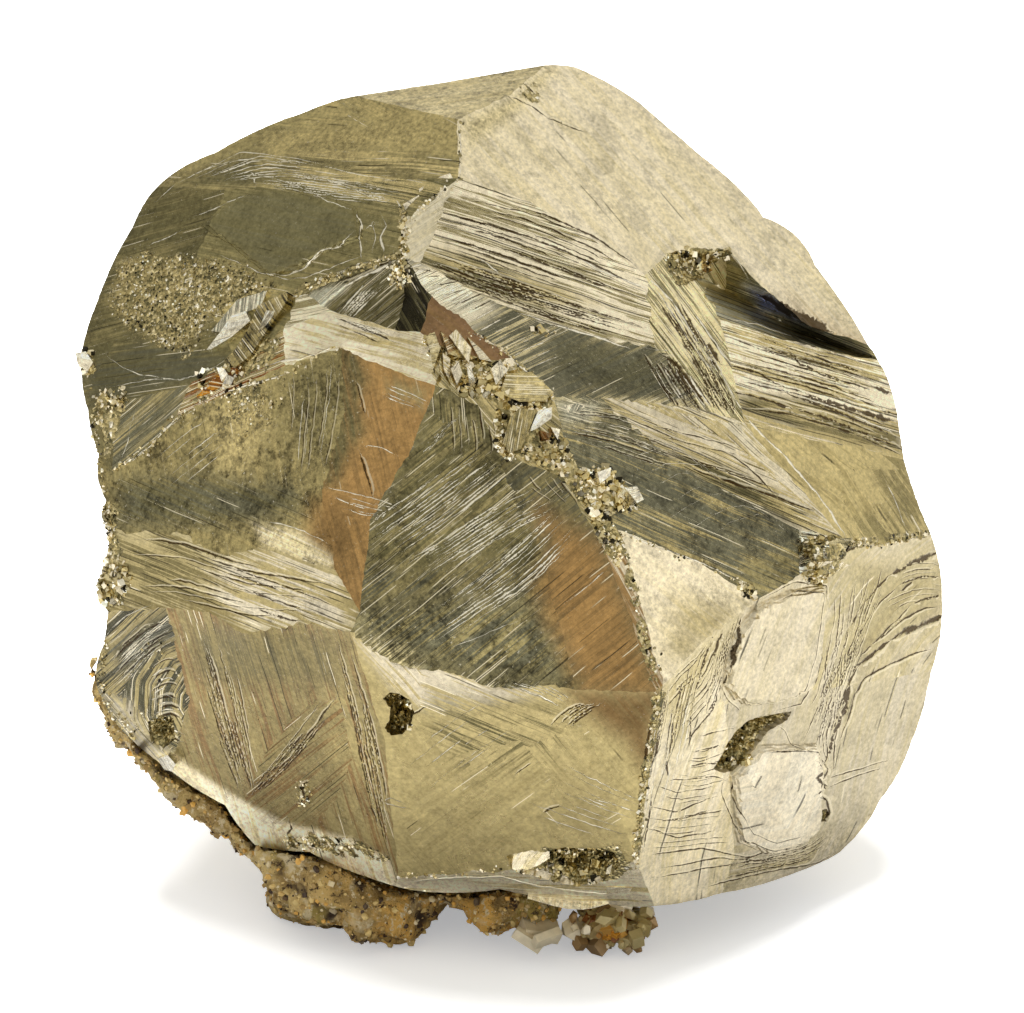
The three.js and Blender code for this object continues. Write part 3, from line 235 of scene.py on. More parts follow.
def bend_points(line, steps):
    """The points of a line at these steps, where step 1.5 is halfway between its second and third corners."""
    corners = np.arange(len(line))
    return np.c_[tuple(np.interp(steps, corners, line[:, axis]) for axis in (0, 1))]


def search_tree(places):
    """Finds the nearest of many places, in the view or in space."""
    tree = kdtree.KDTree(len(places))
    for i, place in enumerate(places):
        tree.insert(Vector(place).to_3d(), i)
    tree.balance()
    return tree


def mesh_arrays(mesh):
    """The points and triangles of an open mesh, which is then freed."""
    mesh.verts.index_update()
    points = np.array([vert.co[:] for vert in mesh.verts])
    triangles = np.array([[vert.index for vert in face.verts] for face in mesh.faces])
    mesh.free()
    return points, triangles


def spot(places, depth):
    """Places in the view and their depths as points of the part."""
    places = np.atleast_2d(places).astype(float)
    depth = np.broadcast_to(depth, len(places))
    reach = (VIEW_DISTANCE - depth) / VIEW_DISTANCE * MM_PER_UNIT
    across = (places[:, 0] - VIEW_CENTRE[0]) * reach
    above = (VIEW_CENTRE[1] - places[:, 1]) * reach
    return BODY_CENTRE + np.outer(across, RIGHT) + np.outer(above, UP) + np.outer(depth, TOWARD)


def flatten_faces(rounds=400, loose_hold=0.03, firm_hold=6.0):
    """Moves each corner along its line of sight until every face is as good as flat. Nearness, one over the
    distance from the eye, is even across any flat face."""
    names = list(CORNERS)
    index = {name: i for i, name in enumerate(names)}
    places = np.array([CORNERS[name][:2] for name in names], float)
    first = 1 / (VIEW_DISTANCE - np.array([CORNERS[name][2] for name in names]))
    hold = np.array([firm_hold if name in HELD_CORNERS else loose_hold for name in names])
    fits = []
    for ring in RINGS.values():
        members = np.array([index[name] for name in ring])
        terms = np.c_[np.ones(len(ring)), places[members] - places[members].mean(0)]
        fits.append((members, terms @ np.linalg.pinv(terms)))
    nearness = first.copy()
    for _ in range(rounds):
        total = hold * first
        weight = hold.copy()
        for members, fit in fits:
            total[members] += fit @ nearness[members]
            weight[members] += 1
        nearness = total / weight
    return {name: nearness[i] for name, i in index.items()}


NEARNESS = flatten_faces()


def blend_inside(places, ring, values):
    """Mean value coordinates: spreads the corners' values smoothly over a face."""
    to_corner = ring[None] - places[:, None]
    far = np.maximum(np.linalg.norm(to_corner, axis=2), 1e-9)
    after = np.roll(to_corner, -1, axis=1)
    cross = to_corner[..., 0] * after[..., 1] - to_corner[..., 1] * after[..., 0]
    dot = (to_corner * after).sum(2)
    cross = np.where(np.abs(cross) < 1e-7, 1e-7, cross)
    half = (far * np.roll(far, -1, axis=1) - dot) / cross
    weight = (half + np.roll(half, 1, axis=1)) / far
    return weight @ values / weight.sum(1)


def is_inside(places, ring):
    inside = np.zeros(len(places), bool)
    x, y = places[:, 0], places[:, 1]
    for (x1, y1), (x2, y2) in zip(ring, np.roll(ring, -1, axis=0)):
        if y1 == y2:
            continue
        crosses = (y1 > y) != (y2 > y)
        inside ^= crosses & (x < (x2 - x1) * (y - y1) / (y2 - y1) + x1)
    return inside


def along_line(places, line):
    """Signed distance from a line of points, positive on its left, and how far along it each place is."""
    best = np.full(len(places), np.inf)
    signed = np.zeros(len(places))
    travel = np.zeros(len(places))
    done = 0.0
    for start, end in zip(line[:-1], line[1:]):
        step = end - start
        length = np.linalg.norm(step)
        t = np.clip((places - start) @ step / length**2, 0, 1)
        away = places - start - t[:, None] * step
        distance = np.linalg.norm(away, axis=1)
        side = step[0] * away[:, 1] - step[1] * away[:, 0]
        nearer = distance < best
        best = np.where(nearer, distance, best)
        signed = np.where(nearer, -np.sign(side) * distance, signed)
        travel = np.where(nearer, done + t * length, travel)
        done += length
    return signed, travel


def from_outline(places, ring):
    """Distance from a closed outline, positive inside it."""
    ring = np.asarray(ring, float)
    distance = np.abs(along_line(places, np.vstack([ring, ring[:1]]))[0])
    return np.where(is_inside(places, ring), distance, -distance)


def smooth(value, low, high):
    t = np.clip((value - low) / (high - low), 0, 1)
    return t * t * (3 - 2 * t)


def cover(places, outline, soft):
    """How far each place is covered by an outline with a soft border, 0 to 1."""
    ring = trace(outline)
    near = np.flatnonzero(((places > ring.min(0) - soft) & (places < ring.max(0) + soft)).all(1))
    share = np.zeros(len(places))
    share[near] = smooth(from_outline(places[near], ring), -soft / 2, soft)
    return share


def jagged(start, end, step, rough, bulge=0.0):
    """A line from start to end with small bends, as a list of points without the last. A bulge curves it."""
    start, end = np.asarray(start, float), np.asarray(end, float)
    length = np.linalg.norm(end - start)
    count = max(1, round(length / step))
    t = np.arange(count) / count
    aside = np.array([-(end - start)[1], (end - start)[0]]) / length
    bend = np.zeros(count)
    for wave, size in BENDS:
        bend += size * np.sin(math.pi * wave * t) * random.normal(0, 0.7)
    bend += random.normal(0, 0.35, count)
    bend *= rough * np.minimum(1, 3 * np.sqrt(np.minimum(t, 1 - t)))
    bend -= bulge * length * 4 * t * (1 - t)
    return start + t[:, None] * (end - start) + bend[:, None] * aside


# Outlines of the flat places that also have a look of their own.
DARK_PLATEAU = "240,195 280,190 330,198 357,208 363,238 325,252 300,268 270,277 240,252 203,226"
TOP_PLATE = "757,606 790,590 824,586 828,602 815,680 806,691 780,700 750,705 734,700 724,684 729,658 739,630"
BASE_PLATE = "730,775 760,745 815,743 822,770 818,829 799,845 770,855 738,842"
# Plates that rise in steps: outline, steps, rise of each in millimetres, and how much each is smaller.
PLATEAUS = [
    (DARK_PLATEAU, 2, 0.13, 0.05),
    (TOP_PLATE, 3, 0.14, 0.03),
    (BASE_PLATE, 3, 0.14, 0.035),
    ("800,545 818,541 843,544 838,560 828,577 804,575", 3, 0.3, 0.14),
]
# Holes: outline and depth in millimetres.
PITS = [
    ("383,699 390,693 399,694 409,700 414,712 410,724 402,734 391,735 385,728 390,720 391,707", 2.2),
    ("507,856 530,851 545,853 560,849 592,849 614,853 620,866 604,880 578,886 552,880 524,872 512,868",
     1.7),
    ("714,769 722,756 728,744 738,730 750,720 770,715 790,711 786,719 768,730 757,744 744,760 733,771"
     " 722,772", 1.5),
    ("818,811 826,809 829,814 827,821 819,821", 0.7),
    ("148,722 160,716 173,718 175,738 162,750 152,742", 0.8),
]
# Cracks and ledge lines: half width in millimetres and the line.
CRACKS = [
    (0.24, "946,615 939,617 924,624 901,633 890,640"), (0.16, "892,639 875,652 855,668 847,688 842,709"),
    (0.30, "850,684 844,709 835,732 829,750 824,764"),
    (0.08, "936,648 916,653 888,665 865,678 855,694 848,720 838,745"),
    (0.08, "860,665 848,682 840,706 832,735"), (0.24, "938,552 921,560 904,568 890,575"),
    (0.07, "892,574 876,588 862,606 848,632"), (0.10, "941,578 926,576 913,579 898,586"),
    (0.05, "898,586 880,602 866,622 852,650"), (0.08, "942,596 924,599 913,604"),
    (0.06, "913,604 892,624 875,642 858,658"), (0.06, "940,606 922,610 905,618 888,632 870,646"),
    (0.08, "914,580 900,592"), (0.10, "742,616 736,640 727,672"),
    (0.05, "727,672 722,688 728,700 742,712"), (0.13, "714,632 704,662 696,690"),
    (0.09, "696,690 690,722 690,749"), (0.12, "722,632 716,650 711,664"),
    (0.12, "668,690 661,719 653,762"), (0.09, "663,684 648,737 640,800 638,839"),
    (0.08, "674,732 666,762 668,780"), (0.05, "668,780 690,779 709,777 725,778"),
    (0.05, "660,808 676,812 704,801 713,796"), (0.05, "656,822 684,818 710,810"),
    (0.05, "646,828 680,838 712,831"), (0.05, "692,752 708,749 722,745"),
    (0.05, "700,736 716,732 734,728"), (0.05, "690,766 706,763 720,764"),
    (0.06, "652,792 648,820 644,850"), (0.05, "642,856 700,848 748,858 796,844 818,835"),
    (0.05, "650,878 722,866 780,858 815,848"), (0.05, "660,868 720,858 770,862 806,852"),
    (0.05, "700,888 760,874 820,862 838,850"), (0.12, "814,760 822,768 812,776 823,784 813,792"),
    (0.10, "816,794 826,800 829,812 824,824"), (0.10, "821,758 828,770 822,782"),
    (0.04, "829,778 857,770 890,760"), (0.04, "829,787 857,776 884,768"),
    (0.04, "760,600 796,582 828,586 824,622 818,652 808,690 800,704 772,711"),
    (0.03, "764,606 796,590 821,592 817,622 812,650 802,684 796,696 770,703 748,705"),
    (0.03, "836,590 834,622 826,660 816,694 806,712"), (0.03, "846,592 842,628 834,664 822,702 812,724"),
    (0.04, "856,580 852,612 846,640 838,668 828,704"), (0.03, "870,574 862,600 852,628"),
    (0.04, "763,750 790,748 816,750 821,762"), (0.04, "724,776 722,796 730,814 742,840 772,849 808,838"),
    (0.03, "732,770 731,794 738,812 750,832 774,841 802,832"), (0.03, "772,722 784,730 790,744 812,752"),
    (0.16, "816,558 842,553 858,546 872,539"), (0.20, "800,556 812,562 830,566 842,560"),
    (0.14, "802,566 816,572 828,577"), (0.09, "688,466 703,474 758,491 816,511"),
    (0.05, "694,462 730,474 776,488"), (0.05, "676,454 712,466 752,478"),
    (0.04, "660,436 700,446 738,455"), (0.04, "654,426 696,436 736,447"),
    (0.05, "730,453 758,476 776,496"), (0.09, "360,452 366,474 374,498"),
    (0.06, "356,381 360,396 365,414"), (0.05, "521,82 528,88 535,95"),
    (0.06, "505,96 520,101 535,109 548,119 562,124 585,133"), (0.05, "395,258 360,268 330,277 302,292"),
    (0.08, "400,258 376,266 352,276 338,282"), (0.07, "542,814 552,808 562,804"),
    (0.04, "515,775 524,768 533,762"), (0.05, "394,725 410,716 428,706"),
    (0.06, "286,838 305,844 330,843 352,848"), (0.08, "300,806 304,796 302,786 311,780"),
    (0.09, "286,836 292,828 288,818"), (0.10, "337,318 362,328 392,341"),
    (0.06, "337,324 360,334 380,343"), (0.10, "787,350 800,365 830,377 867,388"),
    (0.17, "869,385 880,389 892,394"), (0.11, "728,365 758,373 775,384 808,394"),
    (0.22, "806,394 850,409 899,422"), (0.13, "780,392 830,408 902,440"),
    (0.10, "730,390 758,398 796,409"), (0.17, "796,408 830,420 903,450"),
    (0.09, "742,408 790,414 850,432 903,456"), (0.5, "684,318 696,334 710,352 720,362"),
    (0.45, "664,356 678,368 694,388 704,402"), (0.6, "760,296 790,312 830,332"),
    (0.07, "752,336 800,352 860,372"), (0.06, "730,338 760,350 790,356"),
    (0.08, "880,410 892,414 900,416"),
]
# Families of lines between two guides: how many, half width in mm, least share of the length and guides.
CRACK_FAMILIES = [
    (13, 0.07, 0.35, "452,190 540,208 600,236 648,272", "418,240 480,262 560,290 652,318"),
    (12, 0.08, 0.4, "416,246 480,268 560,296 654,326", "424,266 490,296 560,322 652,346"),
    (9, 0.09, 0.25, "644,286 672,330 700,372 716,414", "684,300 700,332 722,376 742,418"),
    (7, 0.10, 0.4, "640,352 652,372 664,392 676,408", "672,360 684,380 696,400 706,414"),
    (7, 0.10, 0.4, "686,372 698,390 706,402 714,414", "716,376 726,394 732,404 738,416"),
    (14, 0.06, 0.2, "748,330 800,346 840,356 884,372", "736,400 800,412 850,430 902,452"),
    (10, 0.045, 0.4, "560,404 620,408 660,424 690,440", "566,440 610,452 640,462 676,474"),
    (9, 0.045, 0.3, "112,534 180,540 240,562 330,580", "118,606 180,604 250,620 352,618"),
    (4, 0.06, 0.3, "200,552 250,566 300,584 346,606", "196,590 240,608 290,624 330,624"),
    (14, 0.05, 0.35, "184,630 206,700 222,750 238,790", "232,646 244,700 256,760 262,800"),
    (9, 0.05, 0.4, "332,640 350,710 364,780 384,856", "350,640 368,700 386,780 396,862"),
    (7, 0.045, 0.4, "242,797 272,764 300,728 332,684", "250,802 284,772 312,740 340,700"),
    (12, 0.045, 0.4, "664,690 680,668 700,652 712,630", "668,752 688,744 714,712 728,668"),
    (9, 0.04, 0.3, "716,632 704,664 694,700 690,748", "660,692 656,722 650,752 646,786"),
    (10, 0.035, 0.3, "650,780 676,790 706,786 722,780", "640,852 676,850 706,846 734,846"),
    (8, 0.035, 0.4, "690,752 706,750 718,744 730,738", "668,782 690,790 712,786 728,782"),
    (7, 0.035, 0.35, "700,886 760,872 812,860 846,836", "716,862 762,858 806,846 830,824"),
    (8, 0.03, 0.5, "720,640 712,670 706,700 700,730", "745,606 735,632 726,660 722,688"),
    (9, 0.04, 0.3, "826,640 820,700 806,742 826,760", "850,650 842,706 836,746 834,776"),
    (8, 0.03, 0.3, "890,570 916,560 936,560 944,566", "880,620 906,606 928,602 944,604"),
    (16, 0.035, 0.3, "836,586 836,640 818,700 800,742", "898,560 872,616 850,676 830,742"),
    (7, 0.04, 0.3, "450,402 450,420 452,440 452,456", "494,404 496,420 500,440 500,456"),
    (6, 0.05, 0.4, "512,470 520,484 530,492 548,500", "572,474 580,488 590,500 598,520"),
    (5, 0.035, 0.3, "290,370 290,400 288,440 288,474", "344,352 342,390 334,440 326,474"),
    (6, 0.05, 0.5, "404,262 412,264 420,266 430,268", "470,318 480,314 494,306 506,300"),
    (6, 0.06, 0.5, "546,728 556,716 566,708 580,704", "570,728 584,718 600,708 616,700"),
    (6, 0.08, 0.4, "106,660 124,640 146,622 176,612", "116,688 134,670 152,654 176,636"),
    (8, 0.06, 0.5, "150,668 160,660 170,656 178,660", "150,748 160,742 172,740 184,746"),
]
# Bright ridges, painted as highlight lines: half width in millimetres and the line.
GLINTS = [
    (0.09, "281,172 305,177 332,181 370,196 397,201 407,216 405,236 397,249"),
    (0.06, "271,178 292,184 314,193 329,203 352,210"), (0.10, "357,211 362,226 360,239 362,259"),
    (0.10, "382,216 387,226 381,236 384,254"), (0.08, "355,234 342,246 322,252 302,269 287,275 266,274"),
    (0.07, "362,256 339,264 309,276 287,279 256,271 236,261 216,254"),
    (0.17, "405,254 377,261 352,268 339,273 322,280 309,286 298,291"),
    (0.14, "397,261 380,269 365,276 342,287 328,299"), (0.11, "251,171 254,176 256,184"),
    (0.07, "150,245 164,239 178,232"), (0.05, "196,216 222,206 249,197"),
    (0.05, "158,200 176,184 200,172 238,158"), (0.05, "108,357 124,368 140,375 181,380 216,367 239,352"),
    (0.05, "113,387 150,380 188,378 226,365"), (0.14, "269,365 282,361 294,359 317,354 330,348 338,344"),
    (0.10, "186,410 216,395 256,383 292,372"), (0.07, "112,471 130,460 149,447 162,432 178,417 194,406"),
    (0.06, "458,122 461,150 459,178"), (0.08, "407,206 404,225 402,245 400,262"),
    (0.05, "408,226 407,240 404,252"), (0.05, "412,222 410,236 406,248"),
    (0.05, "365,230 372,224 376,238 372,252"), (0.08, "478,257 486,262 492,268 500,274"),
    (0.09, "516,312 560,326 600,338 634,350"), (0.10, "640,346 652,349 671,351"),
    (0.10, "580,260 604,272 649,289"), (0.10, "553,396 537,381 516,363 508,354 490,342 470,331"),
    (0.10, "728,251 738,262 744,272 750,281"),
    (0.10, "641,268 656,284 672,300 699,344 720,372 737,402 748,420"),
    (0.10, "737,406 762,434 787,457 806,480 819,495 834,516 848,540"),
    (0.09, "692,311 706,330 718,348 730,364"), (0.06, "886,484 894,500 905,529"),
    (0.07, "724,319 758,325 787,335 821,348 880,368"), (0.06, "730,376 787,392 830,406 898,434"),
    (0.05, "326,487 352,493 380,500 402,508"), (0.05, "266,521 285,525 304,531 327,543"),
    (0.04, "363,446 380,447 394,454"), (0.08, "398,884 440,880 500,876 540,886 600,894 636,892"),
    (0.06, "618,530 640,540 700,562 742,582"), (0.05, "663,688 655,730 645,800 637,860"),
    (0.05, "845,545 880,545 930,534"), (0.05, "567,602 585,588 604,572"),
    (0.03, "450,648 486,634 526,617"), (0.05, "384,802 396,806 408,808"),
    (0.06, "384,800 392,797 404,802"), (0.04, "542,816 568,826 594,835"),
    (0.04, "593,798 620,806 636,812"), (0.04, "130,430 126,446 121,458"),
    (0.04, "135,412 131,424 128,436"), (0.04, "150,700 166,694 178,700"),
    (0.05, "112,664 128,650 146,634 164,622"), (0.08, "104,640 112,628 126,616 148,606"),
]
# Families of bright ridges, also painted highlights.
GLINT_FAMILIES = [
    (6, 0.07, 0.7, "333,320 344,306 356,293 364,284", "346,322 356,310 368,300 380,288"),
    (5, 0.07, 0.7, "333,321 350,326 372,334 392,342", "345,318 360,324 378,330 394,336"),
    (12, 0.065, 0.6, "368,531 410,502 445,474 481,452", "400,554 440,527 478,500 511,472"),
    (11, 0.065, 0.55, "402,561 440,540 480,512 528,485", "441,578 480,552 520,528 561,509"),
    (12, 0.06, 0.35, "435,606 470,582 510,548 554,509", "433,652 480,620 530,590 582,535"),
    (8, 0.07, 0.15, "410,470 424,456 440,440 452,420", "430,440 440,432 450,420 470,410"),
    (7, 0.05, 0.3, "366,530 372,520 384,512 400,504", "390,512 410,496 430,482 452,464"),
    (5, 0.07, 0.7, "337,317 348,306 358,296 369,284", "350,323 361,311 372,300 384,289"),
    (9, 0.10, 0.5, "402,268 406,264 412,262 418,261", "452,312 462,306 472,300 480,298"),
    (9, 0.05, 0.35, "464,321 474,316 484,310 495,304", "540,384 554,376 568,370 586,366"),
    (16, 0.045, 0.25, "190,176 240,150 300,158 400,180", "272,186 320,198 360,202 404,206"),
    (7, 0.05, 0.35, "646,276 668,308 694,350 716,376", "690,316 704,338 718,364 734,392"),
    (8, 0.07, 0.3, "640,352 650,370 662,390 674,406", "690,374 700,390 710,402 720,416"),
    (6, 0.05, 0.3, "330,488 350,494 376,502 400,508", "330,500 346,510 362,516 378,516"),
    (10, 0.04, 0.25, "112,664 126,650 144,632 170,616", "120,690 136,674 150,656 176,640"),
    (7, 0.06, 0.4, "150,672 160,664 168,660 176,664", "150,744 160,738 172,736 184,742"),
    (7, 0.03, 0.2, "560,404 620,408 660,424 690,440", "566,440 610,452 640,462 676,474"),
    (9, 0.025, 0.15, "580,440 620,420 660,430 700,470", "700,560 740,530 770,520 800,540"),
    (7, 0.05, 0.35, "656,700 650,750 645,790 641,830", "706,660 694,710 684,760 672,800"),
    (8, 0.03, 0.3, "560,760 590,775 620,790 644,800", "520,800 560,815 600,828 636,838"),
    (6, 0.03, 0.25, "400,760 430,736 460,714 490,696", "430,800 460,776 490,754 520,736"),
    (5, 0.05, 0.3, "530,680 546,683 560,690 576,700", "500,684 520,690 540,698 560,708"),
    (4, 0.06, 0.6, "384,380 400,388 416,394 430,402", "384,398 398,404 412,408 424,414"),
    (3, 0.03, 0.3, "292,372 292,400 290,440 290,474", "342,356 340,390 332,440 324,474"),
    (8, 0.03, 0.3, "150,440 164,428 180,416 200,404", "170,500 190,484 210,468 232,450"),
]
# Half the width of a plate's or a pit's wall and how far a drawn line reaches, in units of the view, and the
# mark of a place that no line reaches, in half widths.
WALL = 0.5
LINE_REACH = 6.0
FAR_MARK = 20.0
# The surface isn't quite even: size and length of its waves, and how far in the back lies, in millimetres.
BROAD_WAVES = (0.035, 9.0)
FINE_WAVES = (0.006, 1.6)
BACK_WAVES = (0.03, 8.0)
BACK_INSET = 0.06
# Edges sharper than this, in degrees, look sharp. Places and points closer than these are the same one.
SHARP_ANGLE = 24
SAME_PLACE = 0.01
SAME_POINT = 1e-4


class Net:
    """Points and edges in the view that the front's triangles have to follow."""

    def __init__(self):
        self.points = []
        self.edges = []
        self.lines = {}

    def add(self, places):
        start = sum(len(part) for part in self.points)
        self.points.append(np.asarray(places, float))
        return np.arange(start, start + len(places))

    def chain(self, members, closed=False):
        self.edges += list(zip(members[:-1], members[1:]))
        if closed:
            self.edges.append((members[-1], members[0]))

    def all_points(self):
        return np.vstack(self.points)


def ring_of(outline, step, rough):
    """A closed jagged outline."""
    outline = [np.asarray(place, float) for place in outline]
    return np.vstack([jagged(a, b, step, rough) for a, b in zip(outline, outline[1:] + outline[:1])])


def offset(ring, amount):
    """The outline moved outward by an amount, or inward by a negative one."""
    before, after = np.roll(ring, 1, axis=0), np.roll(ring, -1, axis=0)
    run = after - before
    out = np.c_[run[:, 1], -run[:, 0]] / np.maximum(np.linalg.norm(run, axis=1), 1e-6)[:, None]
    area = np.sum(ring[:, 0] * after[:, 1] - after[:, 0] * ring[:, 1])
    return ring + out * amount * np.sign(area)


def plateau_rings():
    """The outline and rise of every step of the raised plates."""
    rings = []
    for outline, steps, rise, shrink in PLATEAUS:
        outline = trace(outline)
        middle = outline.mean(0)
        for step in range(steps):
            size = 1 - shrink * step
            rough = PLATE_ROUGH + PLATE_ROUGH_MORE * step
            rings.append((ring_of(middle + (outline - middle) * size, EDGE_STEP, rough), rise))
    return rings


def front_net():
    """The edges of the faces, and the walls of the raised plates and of the pits."""
    net = Net()
    corner_ids = dict(zip(CORNERS, net.add([CORNERS[name][:2] for name in CORNERS])))
    for ring in RINGS.values():
        for a, b in zip(ring, ring[1:] + ring[:1]):
            if (b, a) in net.lines:
                continue
            rim = a in OUTLINE_CORNERS and b in OUTLINE_CORNERS
            rough = RIM_ROUGH if rim else ROUGHNESS.get(f"{a}-{b}", ROUGHNESS.get(f"{b}-{a}", EDGE_ROUGH))
            bulge = RIM_BULGES.get(f"{a} {b}", RIM_BULGE) if rim else 0.0
            line = jagged(CORNERS[a][:2], CORNERS[b][:2], EDGE_STEP, rough, bulge)
            inner = net.add(line[1:]) if len(line) > 1 else np.array([], int)
            net.chain([corner_ids[a], *inner, corner_ids[b]])
            net.lines[(a, b)] = line
    steps = plateau_rings()
    for ring, _ in steps:
        for amount in (WALL, -WALL):
            net.chain(list(net.add(offset(ring, amount))), closed=True)
    holes = []
    for outline, deep in PITS:
        ring = ring_of(trace(outline), PIT_RIM_STEP, PIT_RIM_ROUGH)
        holes.append((ring, deep))
        for amount in (WALL, -WALL):
            net.chain(list(net.add(offset(ring, amount))), closed=True)
    return net, steps, holes


def face_outline(net, ring):
    """A face's outline with its bends."""
    parts = []
    for a, b in zip(ring, ring[1:] + ring[:1]):
        if (a, b) in net.lines:
            parts.append(net.lines[(a, b)])
        else:
            line = net.lines[(b, a)]
            start = np.asarray([CORNERS[a][:2]], float)
            parts.append(np.vstack([start, line[:0:-1]]))
    return np.vstack(parts)


def fill_points(net, holes):
    """Scattered points between the lines, closer together in the pits."""
    left, top, right, bottom = SPECIMEN_BOX
    rows = []
    for k, y in enumerate(np.arange(top, bottom, FRONT_STEP * math.sqrt(3) / 2)):
        xs = np.arange(left + k % 2 * FRONT_STEP / 2, right, FRONT_STEP)
        rows.append(np.c_[xs, np.full(len(xs), y)])
    scattered = np.vstack(rows)
    scattered += random.uniform(-FRONT_JITTER, FRONT_JITTER, scattered.shape) * FRONT_STEP
    for ring, _ in holes:
        low, high = ring.min(0), ring.max(0)
        xs, ys = np.meshgrid(np.arange(low[0], high[0], PIT_STEP), np.arange(low[1], high[1], PIT_STEP))
        close = np.c_[xs.ravel(), ys.ravel()]
        close += random.uniform(-PIT_JITTER, PIT_JITTER, close.shape)
        close = close[from_outline(close, ring) > PIT_RIM_GAP]
        scattered = np.vstack([scattered[~is_inside(scattered, ring)], close])
    lines = net.all_points()
    tree = search_tree(lines)
    gap = np.array([tree.find((*place, 0))[2] for place in scattered])
    return scattered[gap > LINE_GAP]


def drawn(lines, families):
    """Every line with its half width: the single ones and those of the families."""
    every = [(width, trace(line)) for width, line in lines]
    for count, width, shortest, first, last in families:
        first, last = trace(first), trace(last)
        for k in range(count):
            share = (k + random.uniform(0.2, 0.8)) / count
            line = first + (last - first) * share
            long = random.uniform(shortest, 1)
            start = random.uniform(0, 1 - long)
            steps = np.linspace(start, start + long, 6) * (len(line) - 1)
            every.append((width * random.uniform(0.5, 1.5), bend_points(line, steps)))
    return every


def line_marks(places, triangles, lines):
    """At every triangle's corners, how many half widths away the line nearest to that triangle is."""
    corners = places[triangles]
    middles = corners.mean(1)
    nearest = np.full(len(triangles), LINE_REACH)
    marks = np.full((len(triangles), 3), FAR_MARK)
    for half_width, line in lines:
        parts = [jagged(a, b, LINE_STEP, LINE_ROUGH) for a, b in zip(line[:-1], line[1:])]
        bent = np.vstack([*parts, line[-1:]])
        low, high = bent.min(0) - LINE_REACH, bent.max(0) + LINE_REACH
        near = np.flatnonzero(((middles > low) & (middles < high)).all(1))
        distance = np.abs(along_line(middles[near], bent)[0])
        near, distance = near[distance < nearest[near]], distance[distance < nearest[near]]
        nearest[near] = distance
        signed, travel = along_line(corners[near].reshape(-1, 2), bent)
        length = np.linalg.norm(np.diff(bent, axis=0), axis=1).sum()
        taper = np.clip(6 * np.minimum(travel, length - travel) / length, 0.1, 1)
        marks[near] = (signed * MM_PER_UNIT / (half_width * taper)).reshape(-1, 3)
    return marks


def waves(points, size, length, count=9):
    """A gentle even unevenness: sine waves in many directions, about this size and this long."""
    total = np.zeros(len(points))
    for _ in range(count):
        direction = unit(random.normal(0, 1, 3)) * 2 * math.pi / (length * random.uniform(0.7, 1.6))
        total += np.sin(points @ direction + random.uniform(0, 6.28))
    return total * size / math.sqrt(count / 2)


def build_front():
    """The front sheet: its points in the view and in space, its triangles and the face of each."""
    net, steps, holes = front_net()
    lines = net.all_points()
    places = np.vstack([lines, fill_points(net, holes)])
    flat = [Vector((x, -y)) for x, y in places]
    found, _, triangles, *_ = geometry.delaunay_2d_cdt(flat, net.edges, [], 0, 1e-3)
    places = np.array([(x, -y) for x, y in found])
    triangles = np.array(triangles)
    middles = places[triangles].mean(1)
    names = list(RINGS)
    region = np.full(len(triangles), -1)
    for i, name in enumerate(names):
        ring = face_outline(net, RINGS[name])
        near = np.flatnonzero(((middles > ring.min(0)) & (middles < ring.max(0))).all(1) & (region < 0))
        region[near[is_inside(middles[near], ring)]] = i
    triangles, region = triangles[region >= 0], region[region >= 0]
    used = np.unique(triangles)
    renumber = np.zeros(len(places), int)
    renumber[used] = np.arange(len(used))
    places, triangles = places[used], renumber[triangles]

    nearness = np.zeros(len(places))
    shares = np.zeros(len(places))
    members = {}
    for i, name in enumerate(names):
        ids = np.unique(triangles[region == i])
        members[i] = ids
        corners = np.array([CORNERS[c][:2] for c in RINGS[name]], float)
        nearness[ids] += blend_inside(places[ids], corners, np.array([NEARNESS[c] for c in RINGS[name]]))
        shares[ids] += 1
    points = spot(places, VIEW_DISTANCE - shares / nearness)

    relief = waves(points, *BROAD_WAVES) + waves(points, *FINE_WAVES)
    for ring, rise in steps:
        relief += rise * is_inside(places, ring)
    for ring, deep in holes:
        inside = from_outline(places, ring)
        rugged = 0.5 + 0.5 * np.sin(places[:, 0] * 0.83 + 2) * np.sin(places[:, 1] * 0.71)
        relief -= deep * (inside > 0) * (0.25 + smooth(inside, 0, 8) * (0.5 + 0.5 * rugged))
    outline_ids = outline_members(places, net)
    relief[outline_ids] = 0
    shift = np.zeros_like(points)
    for i in range(len(names)):
        normal = unit(facing(points, triangles[region == i]).sum(0))
        shift[members[i]] += np.outer(relief[members[i]], normal)
    points = points + shift / shares[:, None]
    return places, points, triangles, region, outline_ids


def outline_members(places, net):
    """The numbers of the points on the silhouette, in order around it."""
    tree = search_tree(places)
    order = []
    for place in face_outline(net, list(OUTLINE_CORNERS)):
        _, i, gap = tree.find((*place, 0))
        if gap < SAME_PLACE:
            order.append(i)
    return np.array(order)


# Colours of the metal and its tarnish, as seen, 0 to 255. On the metal they also hold painted light: the
# reflections and shade that its faces show, and white and silver glints.
TONES = {
    "white": (255, 247, 224),
    "silver": (244, 232, 200),
    "cream": (234, 221, 191),
    "pale_gold": (218, 202, 154),
    "gold": (200, 182, 128),
    "olive_gold": (176, 159, 108),
    "olive": (144, 132, 90),
    "dark_olive": (110, 103, 70),
    "slate": (104, 101, 80),
    "steel": (150, 147, 126),
    "dark": (44, 40, 28),
    "umber": (62, 44, 20),
    "copper": (206, 163, 102),
    "brown": (160, 128, 82),
    "rose": (150, 118, 84),
    "navy": (64, 76, 118),
    "rust": (132, 82, 34),
    "orange": (214, 150, 50),
    "rock_brown": (164, 134, 76),
    "rock_tan": (214, 186, 120),
    "rock_ochre": (222, 172, 84),
    "rock_olive": (160, 138, 66),
    "rock_cream": (226, 208, 166),
    "rock_dark": (66, 46, 26),
}
